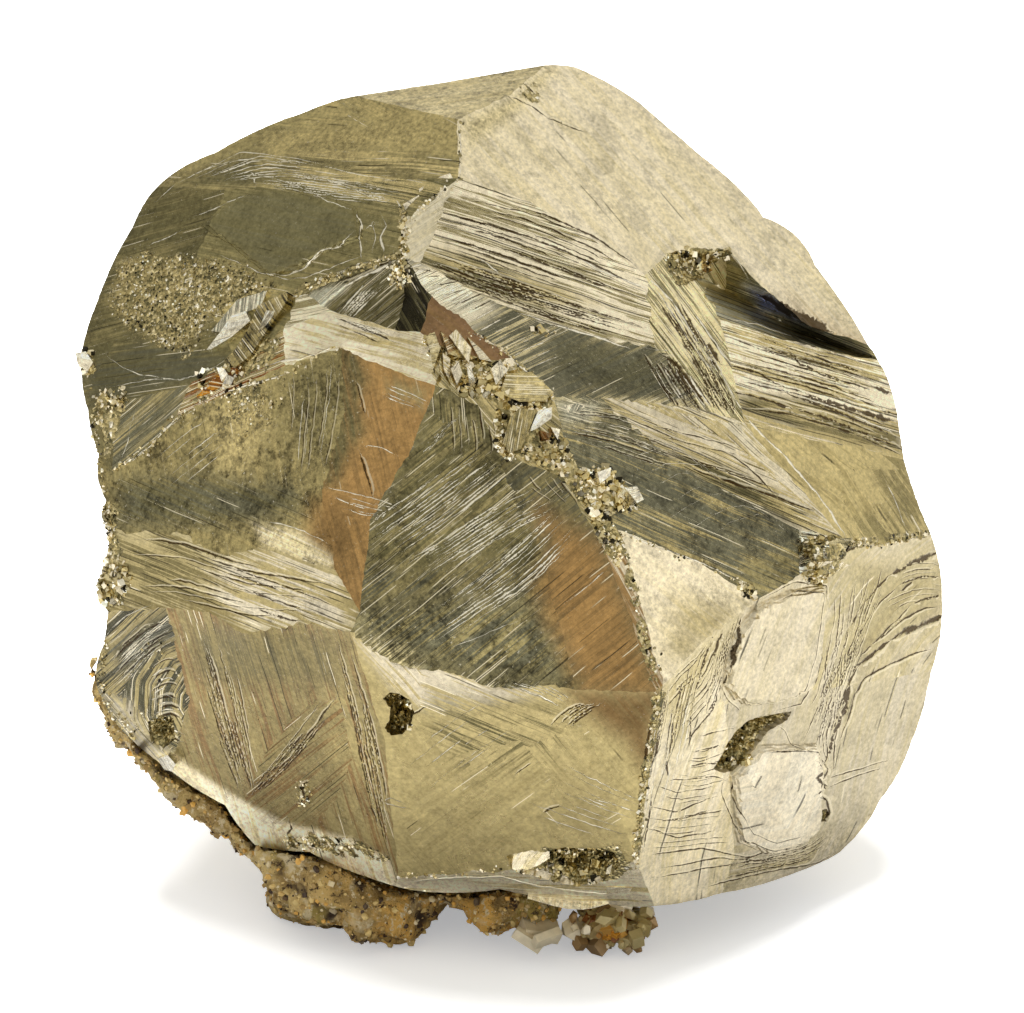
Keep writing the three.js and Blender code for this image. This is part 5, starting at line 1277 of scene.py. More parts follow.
class Graph:
    """Short names for building a node tree."""

    def __init__(self, owner):
        owner.use_nodes = True
        self.tree = owner.node_tree
        self.tree.nodes.clear()

    def node(self, kind, inputs=None, **settings):
        node = self.tree.nodes.new(kind)
        for key, value in settings.items():
            setattr(node, key, value)
        for key, value in (inputs or {}).items():
            if isinstance(value, bpy.types.NodeSocket):
                self.tree.links.new(value, node.inputs[key])
            else:
                node.inputs[key].default_value = value
        return node

    def math(self, operation, a, b=0.0, c=0.0, clamp=False):
        inputs = {0: a, 1: b, 2: c}
        return self.node("ShaderNodeMath", inputs, operation=operation, use_clamp=clamp).outputs[0]

    def mul(self, a, b):
        return self.math("MULTIPLY", a, b)

    def add(self, a, b):
        return self.math("ADD", a, b)

    def sub(self, a, b):
        return self.math("SUBTRACT", a, b)

    def mul_add(self, a, b, c, clamp=False):
        return self.math("MULTIPLY_ADD", a, b, c, clamp)

    def mix(self, share, a, b, blend="MIX"):
        node = self.node("ShaderNodeMix", {0: share, 6: a, 7: b}, data_type="RGBA", blend_type=blend)
        return node.outputs[2]

    def noise(self, vector, scale, detail=2.0, rough=0.5):
        inputs = {"Vector": vector, "Scale": scale, "Detail": detail, "Roughness": rough}
        return self.node("ShaderNodeTexNoise", inputs).outputs[0]

    def random(self, vector):
        return self.node("ShaderNodeTexWhiteNoise", {"Vector": vector}, noise_dimensions="3D").outputs[0]

    def attribute(self, name):
        return self.node("ShaderNodeAttribute", attribute_name=name).outputs["Vector"]

    def split(self, vector):
        return self.node("ShaderNodeSeparateXYZ", {0: vector}).outputs

    def join(self, x, y, z):
        return self.node("ShaderNodeCombineXYZ", {0: x, 1: y, 2: z}).outputs[0]

    def range(self, value, low, high, to_low=0.0, to_high=1.0, kind="SMOOTHSTEP"):
        inputs = {0: value, 1: low, 2: high, 3: to_low, 4: to_high}
        return self.node("ShaderNodeMapRange", inputs, interpolation_type=kind).outputs[0]

    def here(self):
        return self.node("ShaderNodeTexCoord").outputs["Object"]

    def bump(self, height):
        """A height in millimetres."""
        return self.node("ShaderNodeBump", {"Height": height, "Distance": MM, "Strength": 1.0}).outputs[0]

    def surface(self, color, roughness, normal, metallic=0.0):
        shader = self.node(
            "ShaderNodeBsdfPrincipled",
            {"Base Color": color, "Roughness": roughness, "Normal": normal, "Metallic": metallic},
        )
        self.node("ShaderNodeOutputMaterial", {"Surface": shader.outputs[0]})


def rgba(tone):
    return (*linear(tone), 1.0)


def stripes(g, line, along, seed, count, stretch):
    """Lines side by side, so many to a spacing: the place across each line, and two random values for each,
    which change slowly along it."""
    line = g.mul_add(line, count, count * 7.1)
    cell = g.math("FLOOR", line)
    lot = g.random(g.join(cell, seed, count))
    far = g.mul_add(along, stretch, g.mul(lot, 53.0))
    places = [g.join(g.mul(cell, 0.77), far, g.add(seed, shift)) for shift in (0.0, 60.0)]
    values = [g.range(g.noise(place, 1.0, 2.0, 0.6), 0.3, 0.7, kind="LINEAR") for place in places]
    return g.math("FRACT", line), *values


def tone_ramp(g, value, tones):
    """A value from 0 to 1 as one of the tones, in turn."""
    color = rgba(tones[0])
    for i, tone in enumerate(tones[1:], start=1):
        edge = i / len(tones)
        color = g.mix(g.range(value, edge - 0.03, edge + 0.03), color, rgba(tone))
    return color


# Tones of the tiny crystals in the masses, given at random: the white ones are painted glints and the dark
# ones painted shade between crystals.
MASS_TONES = ["dark", "dark_olive", "olive", "olive_gold", "dark_olive"]
MASS_TONES += ["gold", "olive", "pale_gold", "olive_gold", "white"]


def metal_material():
    """Pyrite: two tones that meet in streaks, growth lines as ridges, cracks, and painted highlights on
    bright lines and ridges.
    """
    material = bpy.data.materials.new("pyrite_metal")
    g = Graph(material)
    across, along, seed = g.split(g.attribute("grain"))
    blend, feather, mottle = g.split(g.attribute("lean"))
    bright, dark, relief = g.split(g.attribute("lines"))
    crack, edge, rough = g.split(g.attribute("crack_glint_rough"))
    mass, blotch, _ = g.split(g.attribute("growth"))
    here = g.here()

    # Growth lines of three sizes. They wander a little, and each has a life of its own along its length.
    wander = g.noise(g.join(g.mul(across, 0.1), g.mul(along, 0.16), seed), 1.0)
    line = g.add(across, g.mul(g.sub(wander, 0.5), 1.1))
    inside, life, other = stripes(g, line, along, seed, 1.0, 0.09)
    inside_2, life_2, other_2 = stripes(g, line, along, seed, 2.7, 0.13)
    inside_3, life_3, other_3 = stripes(g, line, along, seed, 7.3, 0.22)

    lean = g.mul(g.sub(life, 0.5), 0.8)
    lean = g.mul_add(g.sub(life_2, 0.5), 0.7, lean)
    lean = g.mul_add(g.sub(life_3, 0.5), 0.5, lean)
    lean = g.mul_add(lean, feather, blend)
    soft = g.range(feather, 0.3, 1.4, 0.5, 0.1)
    color = g.mix(
        g.range(lean, g.sub(0.5, soft), g.add(0.5, soft), kind="LINEAR"),
        g.attribute("tone_a"), g.attribute("tone_b"),
    )

    # Mottled tarnish and fine dust, with painted glints as tiny white specks.
    cloud = g.noise(here, 240.0, 5.0, 0.66)
    speck = g.noise(here, 3200.0, 2.0, 0.7)
    shade = g.mul(g.sub(cloud, 0.5), g.mul(mottle, 1.8))
    dust = g.mul(g.sub(speck, 0.5), g.mul_add(mottle, 1.9, 0.45))
    shade = g.add(shade, dust)
    stain = g.mul(g.range(g.noise(here, 520.0, 5.0, 0.7), 0.5, 0.57), blotch)
    shade = g.mul_add(stain, -0.38, shade)
    shade = g.math("MAXIMUM", g.add(shade, 1.0), 0.25)
    color = g.mix(1.0, color, g.join(shade, shade, shade), "MULTIPLY")
    grit = g.noise(here, 5000.0, 2.0, 0.6)
    grain = g.mul_add(mottle, 0.55, -0.02, clamp=True)
    color = g.mix(g.mul(g.range(grit, 0.64, 0.7), grain), color, rgba("dark"))
    # The white specks are painted glints.
    color = g.mix(g.mul(g.range(grit, 0.33, 0.27), grain), color, rgba("white"))

    # Dark growth lines, and bright ones that are painted highlights.
    dark_line = g.mul(g.range(g.add(other, dark), 0.95, 1.02), g.range(inside, 0.74, 0.86))
    color = g.mix(g.mul(dark_line, 0.85), color, rgba("dark"))
    dark_line = g.mul(g.range(g.add(other_2, dark), 1.0, 1.07), g.range(inside_2, 0.5, 0.7))
    color = g.mix(g.mul(dark_line, 0.7), color, rgba("dark"))
    bright_line = g.mul(g.range(g.sub(bright, other_2), -0.04, 0.04), g.range(inside_2, 0.55, 0.4))
    color = g.mix(g.mul(bright_line, 0.9), color, rgba("silver"))
    bright_line = g.mul(g.range(g.sub(bright, other_3), 0.06, 0.12), g.range(inside_3, 0.6, 0.45))
    color = g.mix(g.mul(bright_line, 0.6), color, rgba("silver"))

    # Cracks, with a painted highlight along their lips, and bright ridges painted as highlights.
    nibble = g.mul(g.sub(g.noise(here, 800.0, 3.0, 0.75), 0.45), 3.6)
    in_crack = g.range(g.add(g.math("ABSOLUTE", crack), nibble), 1.1, 0.4)
    color = g.mix(g.mul(in_crack, 0.9), color, rgba("umber"))
    crack_lip_highlight = g.mul(g.range(crack, 1.0, 1.6), g.range(crack, 3.4, 2.4))
    color = g.mix(g.mul(crack_lip_highlight, 0.45), color, rgba("silver"))
    nibble = g.mul(g.sub(g.noise(here, 700.0, 3.0, 0.75), 0.42), 3.0)
    glint = g.range(g.add(g.math("ABSOLUTE", edge), nibble), 1.0, 0.4)
    color = g.mix(g.mul(glint, 0.9), color, rgba("white"))

    # Masses of tiny crystals, each with a shade of its own; white cells are painted glints, dark ones painted
    # shade.
    small = g.node("ShaderNodeTexVoronoi", {"Vector": here, "Scale": 4200.0}).outputs
    large = g.node("ShaderNodeTexVoronoi", {"Vector": here, "Scale": 1500.0}).outputs
    lot = g.mul(g.split(small["Color"])[0], 0.62)
    lot = g.mul_add(g.split(large["Color"])[0], 0.38, lot)
    crystals = tone_ramp(g, lot, MASS_TONES)
    torn = g.mul_add(g.sub(g.noise(here, 900.0, 4.0, 0.7), 0.5), 2.4, mass)
    in_mass = g.mul(g.range(torn, 0.46, 0.54), g.range(mass, 0.02, 0.2))
    color = g.mix(in_mass, color, crystals)

    height = g.mul(g.sub(1.0, inside), life)
    height = g.mul_add(g.mul(g.sub(1.0, inside_2), life_2), 0.45, height)
    height = g.mul_add(g.mul(g.sub(1.0, inside_3), life_3), 0.2, height)
    height = g.mul(height, relief)
    height = g.mul_add(in_crack, -0.12, height)
    height = g.mul_add(glint, 0.1, height)
    peaks = g.mul_add(small["Distance"], -0.12, g.mul(large["Distance"], -0.2))
    height = g.mul_add(in_mass, peaks, height)
    roughness = g.mul_add(g.sub(cloud, 0.5), 0.25, rough, clamp=True)
    g.surface(color, roughness, g.bump(height), metallic=1.0)
    return material


def druse_material(name, tones, rough=0.2, metallic=1.0):
    """Small crystals, each with a shade of its own."""
    material = bpy.data.materials.new(name)
    g = Graph(material)
    shade = g.split(g.attribute("shade"))[0]
    here = g.here()
    color = tone_ramp(g, shade, tones)
    cloud = g.noise(here, 700.0, 4.0, 0.6)
    tint = g.mul_add(g.sub(cloud, 0.5), 0.9, 1.0)
    color = g.mix(1.0, color, g.join(tint, tint, tint), "MULTIPLY")
    roughness = g.mul_add(cloud, 0.3, rough - 0.12)
    g.surface(color, roughness, g.bump(g.mul(g.noise(here, 2400.0, 3.0), 0.03)), metallic)
    return material


def rock_material():
    """The matrix: brown and ochre, with pale grains, and painted shade in its hollows."""
    material = bpy.data.materials.new("matrix_rock")
    g = Graph(material)
    here = g.here()
    hollow = g.split(g.attribute("shade"))[0]
    broad = g.noise(here, 260.0, 5.0, 0.7)
    fine = g.noise(here, 1300.0, 6.0, 0.75)
    side = g.range(g.split(here)[0], -0.017, -0.006)
    stone = g.mix(side, rgba("rock_tan"), rgba("rock_ochre"))
    color = g.mix(g.range(broad, 0.4, 0.56), rgba("rock_brown"), stone)
    color = g.mix(g.range(g.noise(here, 180.0, 4.0, 0.6), 0.55, 0.62), color, rgba("rock_olive"))
    lumps = g.noise(here, 480.0, 3.0, 0.6)
    pale = g.mul(g.range(lumps, 0.54, 0.62), g.range(side, 0.0, 1.0, 0.8, 0.3))
    color = g.mix(pale, color, rgba("rock_cream"))
    color = g.mix(g.range(fine, 0.56, 0.62), color, rgba("rock_cream"))
    color = g.mix(g.range(fine, 0.45, 0.38), color, rgba("rock_dark"))
    # Painted shade: the low places of the crumbled rock are darkened.
    color = g.mix(g.range(hollow, 0.45, 0.1), color, rgba("rock_dark"))
    grain = g.node("ShaderNodeTexVoronoi", {"Vector": here, "Scale": 1500.0}).outputs[0]
    height = g.mul_add(grain, -0.14, g.mul(fine, 0.6))
    g.surface(color, g.range(fine, 0.3, 0.7, 0.95, 0.65), g.bump(height))
    return material


def crystal_forms(count=12):
    """Small closed crystal shapes of radius one: some cubes, some hulls of scattered points."""
    forms = []
    for k in range(count):
        form = bmesh.new()
        if k % 3 == 0:
            bmesh.ops.create_cube(form, size=1.25)
            stretch = random.uniform(0.75, 1.15, 3)
            for vert in form.verts:
                vert.co = Vector(np.array(vert.co) * stretch)
        else:
            for i in range(9 + k % 4):
                high = 1 - 2 * (i + 0.5) / (9 + k % 4)
                angle = i * 2.4 + random.uniform(-0.4, 0.4)
                wide = math.sqrt(1 - high * high)
                spread = random.uniform(0.8, 1.15)
                form.verts.new(np.array((wide * math.cos(angle), wide * math.sin(angle), high)) * spread)
            bmesh.ops.convex_hull(form, input=form.verts[:])
        bmesh.ops.triangulate(form, faces=form.faces[:])
        forms.append(mesh_arrays(form))
    return forms


FORMS = crystal_forms()


def random_turn():
    turn, _ = np.linalg.qr(random.normal(0, 1, (3, 3)))
    return turn * np.sign(np.linalg.det(turn))


def crystal_heap(name, middles, sizes, material, shades=None):
    """Many small crystals at these middles as one piece."""
    points, triangles, shade = [], [], []
    start = 0
    for k, (middle, size) in enumerate(zip(middles, sizes)):
        form, faces = FORMS[int(random.integers(len(FORMS)))]
        stretch = random.uniform(0.7, 1.25, 3)
        points.append((form * stretch * size) @ random_turn().T + middle)
        triangles.append(faces + start)
        lot = random.random() if shades is None else shades[k]
        shade.append(np.full(len(faces) * 3, lot))
        start += len(form)
    points = np.vstack(points)
    points[:, 2] = np.maximum(points[:, 2], 0.02)
    lots = np.concatenate(shade)
    piece = make_mesh(name, points, np.vstack(triangles), {"shade": np.stack([lots, lots, lots], axis=1)})
    piece.data.materials.append(material)
    return piece


class Front:
    """Finds the front's surface under a place in the view."""

    def __init__(self, places, points, triangles):
        normals = np.zeros_like(points)
        for k in range(3):
            np.add.at(normals, triangles[:, k], facing(points, triangles))
        self.normals = unit_rows(normals)
        self.points = points
        self.tree = search_tree(places)

    def normal_at(self, place):
        _, i, _ = self.tree.find((*place, 0))
        return self.normals[i]

    def at(self, place, sink=0.0):
        _, i, _ = self.tree.find((*place, 0))
        return self.points[i] - self.normals[i] * sink


def scatter(outline, count):
    """Random places inside an outline."""
    outline = trace(outline)
    found = np.zeros((0, 2))
    while len(found) < count:
        tries = random.uniform(outline.min(0), outline.max(0), (count * 3, 2))
        found = np.vstack([found, tries[is_inside(tries, outline)]])
    return found[:count]


# Crystals grown in the seams: how many, least and greatest radius in millimetres and the outline.
SEAM_PATCHES = [
    (90, 0.10, 0.42, "436,340 456,350 480,362 488,384 478,398 462,396 446,372"),
    (130, 0.12, 0.55, "484,364 508,362 520,372 500,400 486,396 470,384"),
    (90, 0.10, 0.40, "512,398 540,404 548,414 524,414 504,410"),
    (70, 0.08, 0.30, "496,410 504,412 502,444 516,458 508,462 496,448"),
    (110, 0.10, 0.34, "516,456 534,440 556,432 566,440 576,466 566,476 548,466 530,462"),
    (190, 0.10, 0.42, "574,474 588,466 608,468 622,476 628,496 618,512 600,516 584,508 576,492"),
    (60, 0.10, 0.38, "614,492 628,494 638,504 630,512 616,508"),
    (120, 0.08, 0.28, "586,510 606,514 624,540 618,568 608,560 600,538"),
    (120, 0.10, 0.45, "92,556 124,562 130,584 124,604 98,604"),
    (40, 0.12, 0.4, "98,504 110,508 110,538 100,538"), (30, 0.12, 0.5, "80,350 92,350 96,370 84,378"),
    (60, 0.08, 0.3, "90,390 126,388 128,408 96,412"), (60, 0.08, 0.4, "196,372 240,360 244,378 206,398"),
    (60, 0.08, 0.3, "400,208 408,212 408,262 400,264"),
    (90, 0.08, 0.3, "388,264 404,258 412,280 400,290 388,282"),
    (60, 0.08, 0.3, "420,338 434,334 440,352 428,356"),
    (70, 0.08, 0.36, "664,256 690,249 728,250 728,256 712,262 710,272 694,278 678,284"),
    (90, 0.10, 0.5, "546,856 560,850 606,850 616,868 600,884 552,880"),
    (30, 0.10, 0.45, "400,716 412,712 412,726 400,733 392,730"),
    (60, 0.10, 0.42, "728,768 734,746 746,738 756,746 748,762 736,770"),
    (60, 0.08, 0.3, "798,540 812,536 830,538 870,538 868,546 840,548 812,548"),
    (50, 0.08, 0.34, "804,566 826,574 828,584 808,584"),
    (30, 0.05, 0.2, "120,650 160,640 185,690 170,730 130,720"),
    (50, 0.06, 0.2, "296,782 312,780 310,806 298,808"),
    (70, 0.06, 0.22, "280,834 356,838 358,850 288,850"),
    (60, 0.06, 0.2, "214,384 286,378 280,430 240,436"),
    (16, 0.12, 0.4, "528,326 554,324 556,334 534,336"),
    (26, 0.10, 0.34, "464,374 474,372 472,392 462,392"),
    (40, 0.10, 0.3, "736,578 758,590 756,600 744,596"),
]
# Rows of tiny crystals along edges: how many, radius in millimetres, spread in units of the view and line.
SEAM_ROWS = [
    (110, 0.16, 4, "112,471 130,458 149,447 162,432 178,417 194,406 216,395 256,383 292,372 337,346"),
    (60, 0.18, 4, "94,415 98,450 106,500 108,540 110,612"),
    (90, 0.17, 3, "660,692 650,735 643,790 637,835 636,868"),
    (60, 0.14, 3, "470,331 490,342 508,354 516,363 537,381 553,395"),
    (50, 0.14, 4, "396,880 440,876 500,870 540,874"), (60, 0.14, 4, "104,640 100,680 112,712 140,742"),
    (60, 0.15, 3, "845,543 880,545 930,533"), (40, 0.13, 3, "620,532 650,545 700,563 745,584"),
    (50, 0.14, 3, "404,256 360,268 330,277 300,290"),
    (40, 0.14, 4, "458,178 440,190 425,206 410,222 404,240"), (30, 0.15, 3, "624,560 640,620 660,672"),
]
# How many grains and crystals there are. How finely the matrix is divided and how deep it crumbles, in
# millimetres.
PATCH_GRAINS = 2600
MATRIX_GRAINS = 3600
CLUSTER_CRYSTALS = 170
MATRIX_STEP = 0.34
CRUMB = 0.34
# The outline of the grain patch on the upper left.
GRAIN_PATCH = (
    "118,262 140,250 170,254 206,254 242,264 276,284 262,300 240,306 216,320 202,342 186,358 160,350 140,338"
    " 118,318 106,306 112,282"
)
PLATE_LOOK = {
    "blend": 0.35, "feather": 1.5, "mottle": 0.7, "bright": 0.3, "dark": 0.12, "relief": 0.06,
    "crack": FAR_MARK, "edge": FAR_MARK, "rough": 0.22, "blotch": 0.6, "mass": 0.1,
}
# Flat crystals on the faces: tones, height in millimetres, how much they lean to the right and up, outline.
# The white and silver ones are painted glints of facets that catch the light.
PLATES = [
    ("white", "silver", 0.55, 0.5, -0.2, "249,313 256,322 236,339 216,351 208,352 226,332 236,317"),
    ("white", "silver", 0.5, 0.4, 0.1, "264,312 279,312 276,320 259,339 261,327"),
    ("steel", "silver", 0.35, -0.3, 0.3, "214,332 240,302 271,292 262,306 238,318 222,334"),
    ("olive_gold", "dark", 0.55, -0.1, 0.4, "292,294 294,303 280,318 264,338 254,357 238,369 228,364"
     " 240,350 252,328 262,308"),
    ("rust", "orange", 0.2, 0.0, 0.2, "196,397 218,376 236,365 241,372 226,384 208,396"),
    ("white", "silver", 0.5, 0.3, 0.3, "221,371 228,369 232,377 224,383"),
    ("white", "silver", 0.5, -0.3, 0.3, "231,376 237,378 234,386 227,384"),
    ("cream", "silver", 0.12, 0.0, 0.3, "419,188 440,177 451,174 458,182 453,188 440,197 426,205"
     " 421,197"),
    ("cream", "silver", 0.12, 0.0, 0.3, "405,205 418,196 425,208 419,220 409,216"),
    ("pale_gold", "gold", 0.5, 0.4, 0.1, "427,338 435,336 442,354 436,372 430,352"),
    ("gold", "brown", 0.5, -0.4, 0.2, "438,336 452,346 463,362 450,357"),
    ("cream", "pale_gold", 0.6, 0.2, 0.3, "446,338 456,333 470,352 466,367"),
    ("pale_gold", "olive_gold", 0.5, 0.5, -0.2, "430,354 436,352 442,378 438,383"),
    ("cream", "gold", 0.5, -0.5, 0.1, "441,356 450,362 448,384 443,372"),
    ("pale_gold", "cream", 0.4, 0.1, 0.4, "466,340 480,350 492,362 478,362"),
    ("cream", "silver", 0.6, 0.5, 0.4, "450,372 458,366 462,380 454,388"),
    ("white", "silver", 0.7, 0.2, 0.5, "488,374 498,366 504,376 494,388"),
    ("white", "silver", 0.6, -0.4, 0.3, "463,374 470,370 475,384 468,392"),
    ("gold", "olive_gold", 0.45, 0.3, 0.2, "504,376 530,374 553,394 543,406 517,404 498,394"),
    ("white", "white", 0.8, 0.5, 0.3, "527,431 536,414 548,411 546,421 537,430"),
    ("olive_gold", "olive", 0.6, -0.2, 0.5, "505,424 515,412 534,414 526,434 521,451 509,455 501,444"),
    ("rust", "brown", 0.5, 0.0, 0.0, "540,432 550,434 548,442 540,441"),
    ("white", "silver", 0.7, 0.3, 0.4, "547,431 557,434 553,443"),
    ("white", "silver", 0.8, 0.4, 0.2, "620,492 629,492 638,502 630,506"),
    ("white", "silver", 0.7, 0.2, 0.5, "594,474 604,470 606,480 598,484"),
    ("orange", "gold", 0.65, 0.2, 0.3, "700,265 709,266 707,271 701,271"),
    ("white", "cream", 0.5, 0.0, -0.9, "526,899 568,899 585,904 608,903 593,906 568,906 549,905"),
    ("pale_gold", "dark_olive", 0.7, 0.1, 0.5, "799,551 832,540 847,543 837,555 809,558"),
    ("cream", "olive_gold", 0.45, 0.1, 0.4, "806,562 830,558 844,562 828,572 808,570"),
    ("cream", "pale_gold", 0.25, 0.1, 0.3, "508,857 522,853 543,858 542,872 522,876 509,868"),
    ("white", "silver", 0.5, 0.2, 0.3, "160,756 172,752 179,758 176,768 165,768"),
    ("white", "cream", 0.6, -0.5, 0.3, "81,355 90,352 94,362 88,373 82,366"),
    ("cream", "pale_gold", 0.15, 0.0, 0.0, "606,887 633,887 629,894 607,893"),
    ("silver", "steel", 0.15, 0.2, 0.4, "552,406 575,402 586,407 570,414 556,413"),
]


def tangent_frame(normal):
    """Directions on a surface: along the view's horizontal, up the surface, and its normal."""
    across = unit(RIGHT - normal * (RIGHT @ normal))
    return across, np.cross(normal, across), normal


def add_plates(front):
    """Flat crystals with crisp edges that stand a little above the faces."""
    points, triangles, parts = [], [], []
    start = 0
    for k, (tone_a, tone_b, height, right, up, outline) in enumerate(PLATES):
        ring = trace(outline)
        base = np.array([front.at(place, 0.12) for place in ring])
        middle = base.mean(0)
        across, above, normal = tangent_frame(front.normal_at(ring.mean(0)))
        local = base - middle
        lift = height * (1 + right * 0.5 * np.sign(local @ across) + up * 0.5 * np.sign(local @ above))
        flat = np.c_[local @ across, local @ above, np.ones(len(ring))]
        plane = np.linalg.lstsq(flat, local @ normal + np.maximum(lift, 0.05), rcond=None)[0]
        top = middle + np.outer(local @ across, across) + np.outer(local @ above, above)
        top = top + np.outer(np.maximum(flat @ plane, local @ normal + 0.05), normal)
        count = len(ring)
        flat_ring = [Vector((*(p * 10), 0)) for p in flat[:, :2]]
        faces = [list(face) for face in geometry.tessellate_polygon([flat_ring])]
        for i in range(count):
            j = (i + 1) % count
            faces += [[i, j, count + j], [i, count + j, count + i]]
        faces = np.array(faces)
        solid = np.vstack([top, base])
        away = solid[faces].mean(1) - (solid.mean(0) - normal * 0.2)
        flip = (facing(solid, faces) * away).sum(1) < 0
        faces[flip] = faces[flip][:, ::-1]
        points.append(solid)
        triangles.append(faces + start)
        start += len(solid)
        size = len(faces) * 3
        part = {key: np.full(size, value) for key, value in PLATE_LOOK.items()}
        part["a"], part["b"] = (np.tile(linear(tone), (size, 1)) for tone in (tone_a, tone_b))
        corners = solid[faces].reshape(-1, 3)
        slant = 0.7 * k
        part["along"] = corners @ (across * math.cos(slant) + above * math.sin(slant))
        part["across"] = corners @ (above * math.cos(slant) - across * math.sin(slant)) / 0.4
        part["seed"] = np.full(size, 300.0 + k)
        parts.append(part)
    return make_mesh("crystal_plates", np.vstack(points), np.vstack(triangles), gather(parts))


def add_crystals(front, metal):
    """The crystals of the seams, the grain patch and the flat plates."""
    middles, sizes = [], []
    for count, least, most, outline in SEAM_PATCHES:
        for place in scatter(outline, count):
            size = least + (most - least) * random.random() ** 2
            middles.append(front.at(place, 0.2 * size))
            sizes.append(size)
    for count, size, spread, line in SEAM_ROWS:
        line = trace(line)
        along = bend_points(line, random.uniform(0, len(line) - 1, count))
        for place in along + random.normal(0, spread / 2, along.shape):
            sizes.append(size * random.uniform(0.4, 1.3))
            middles.append(front.at(place, 0.2 * sizes[-1]))
    # Crystal tones at random: white and silver ones are painted glints, dark ones painted shade between
    # crystals.
    gold = druse_material(
        "seam_gold", ["gold", "white", "olive", "cream", "olive_gold", "silver", "dark", "pale_gold"], 0.16
    )
    pieces = [crystal_heap("seam_crystals", middles, sizes, gold)]
    places = scatter(GRAIN_PATCH, PATCH_GRAINS)
    inside = from_outline(places, trace(GRAIN_PATCH))
    places = places[inside > 14 * random.random(len(places)) ** 2]
    sizes = random.uniform(0.04, 0.12, len(places))
    middles = [front.at(place, 0.3 * size) for place, size in zip(places, sizes)]
    # Grain tones at random: white ones are painted glints, dark ones painted shade between grains.
    grains = druse_material(
        "grain_gold", ["dark", "olive_gold", "dark_olive", "olive_gold", "olive", "gold", "white"], 0.3
    )
    pieces.append(crystal_heap("grain_crystals", middles, sizes, grains))
    plates = add_plates(front)
    plates.data.materials.append(metal)
    return [*pieces, plates]


def remeshed(node, voxel):
    """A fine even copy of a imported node's shape, in millimetres."""
    copy = bpy.data.objects.new("remesh_source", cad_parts[node].data.copy())
    bpy.context.scene.collection.objects.link(copy)
    modifier = copy.modifiers.new("remesh", "REMESH")
    modifier.mode = "VOXEL"
    modifier.voxel_size = voxel * MM
    bpy.context.view_layer.update()
    mesh = bpy.data.meshes.new_from_object(copy.evaluated_get(bpy.context.evaluated_depsgraph_get()))
    bpy.data.objects.remove(copy)
    work = bmesh.new()
    work.from_mesh(mesh)
    bpy.data.meshes.remove(mesh)
    bmesh.ops.triangulate(work, faces=work.faces[:])
    normals = np.array([vert.normal[:] for vert in work.verts])
    points, triangles = mesh_arrays(work)
    return points / MM, normals, triangles


def crumbled(points, normals, size):
    """Pushes a surface in and out as crumbly rock. Returns the points and how high each stands, 0 to 1."""
    lift = np.array([
        noise.noise(Vector(p) * 0.45) * 0.9
        + noise.noise(Vector(p) * 1.1) * 0.7
        + (0.5 - noise.voronoi(Vector(p) * 0.9)[0][0]) * 0.9
        + noise.noise(Vector(p) * 3.0) * 0.25
        for p in points
    ])
    lift -= lift.mean()
    moved = points + normals * np.clip(lift, -1.4, 1.0)[:, None] * size
    moved[:, 2] = np.maximum(moved[:, 2], 0.0)
    return moved, np.clip(0.5 + 0.45 * lift, 0, 1)


def add_matrix():
    """The matrix as crumbly rock, with grains on the side that is seen."""
    points, normals, triangles = remeshed("matrix_crust", MATRIX_STEP)
    points, high = crumbled(points, normals, CRUMB)
    corner_high = high[triangles.ravel()]
    piece = make_mesh("matrix", points, triangles, {"shade": np.stack([corner_high] * 3, axis=1)})
    piece.data.materials.append(rock_material())
    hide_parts("matrix_crust")
    seen = np.flatnonzero((normals @ TOWARD > -0.2) & (points[:, 2] > 0.3))
    picked = random.choice(seen, MATRIX_GRAINS)
    sizes = 0.06 + 0.26 * random.random(len(picked)) ** 3
    middles = points[picked] + normals[picked] * (0.1 * sizes)[:, None]
    middles[:, 2] = np.maximum(middles[:, 2], sizes)
    tones = ["rock_brown", "rock_tan", "rock_ochre", "rock_dark", "rock_cream", "rock_brown", "rock_tan"]
    grains = druse_material("rock_grains", tones, 0.6, 0.0)
    return [piece, crystal_heap("matrix_grains", middles, sizes, grains)]


def add_cluster():
    """The little cluster under the front edge, orange inside."""
    low, high = (np.array(corner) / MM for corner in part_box("base_cluster"))
    middle, half = (low + high) / 2, (high - low) / 2
    spread = random.normal(0, 0.4, (CLUSTER_CRYSTALS, 3)).clip(-0.86, 0.86)
    sizes = 0.3 + 0.75 * random.random(len(spread)) ** 2
    middles = middle + spread * (half - np.array([0.0, 0.5, 0.5]))
    middles[:, 2] = np.maximum(middles[:, 2], sizes * 0.8)
    shell = np.abs(spread[:, [0, 2]]).max(1)
    shades = np.clip(shell + random.normal(0, 0.12, len(spread)), 0, 0.99)
    tones = ["orange", "rock_ochre", "rust", "olive_gold", "gold", "brown", "cream"]
    stone = druse_material("cluster_stone", tones, 0.3, 0.25)
    piece = crystal_heap("cluster", middles, sizes, stone, shades)
    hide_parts("base_cluster")
    return [piece]


# How light the floor is for rays that don't come from the camera, and its glow for those that do.
FLOOR_IN_METAL = 0.46
FLOOR_GLOW = 0.38
FLOOR_SIZE = 3.0


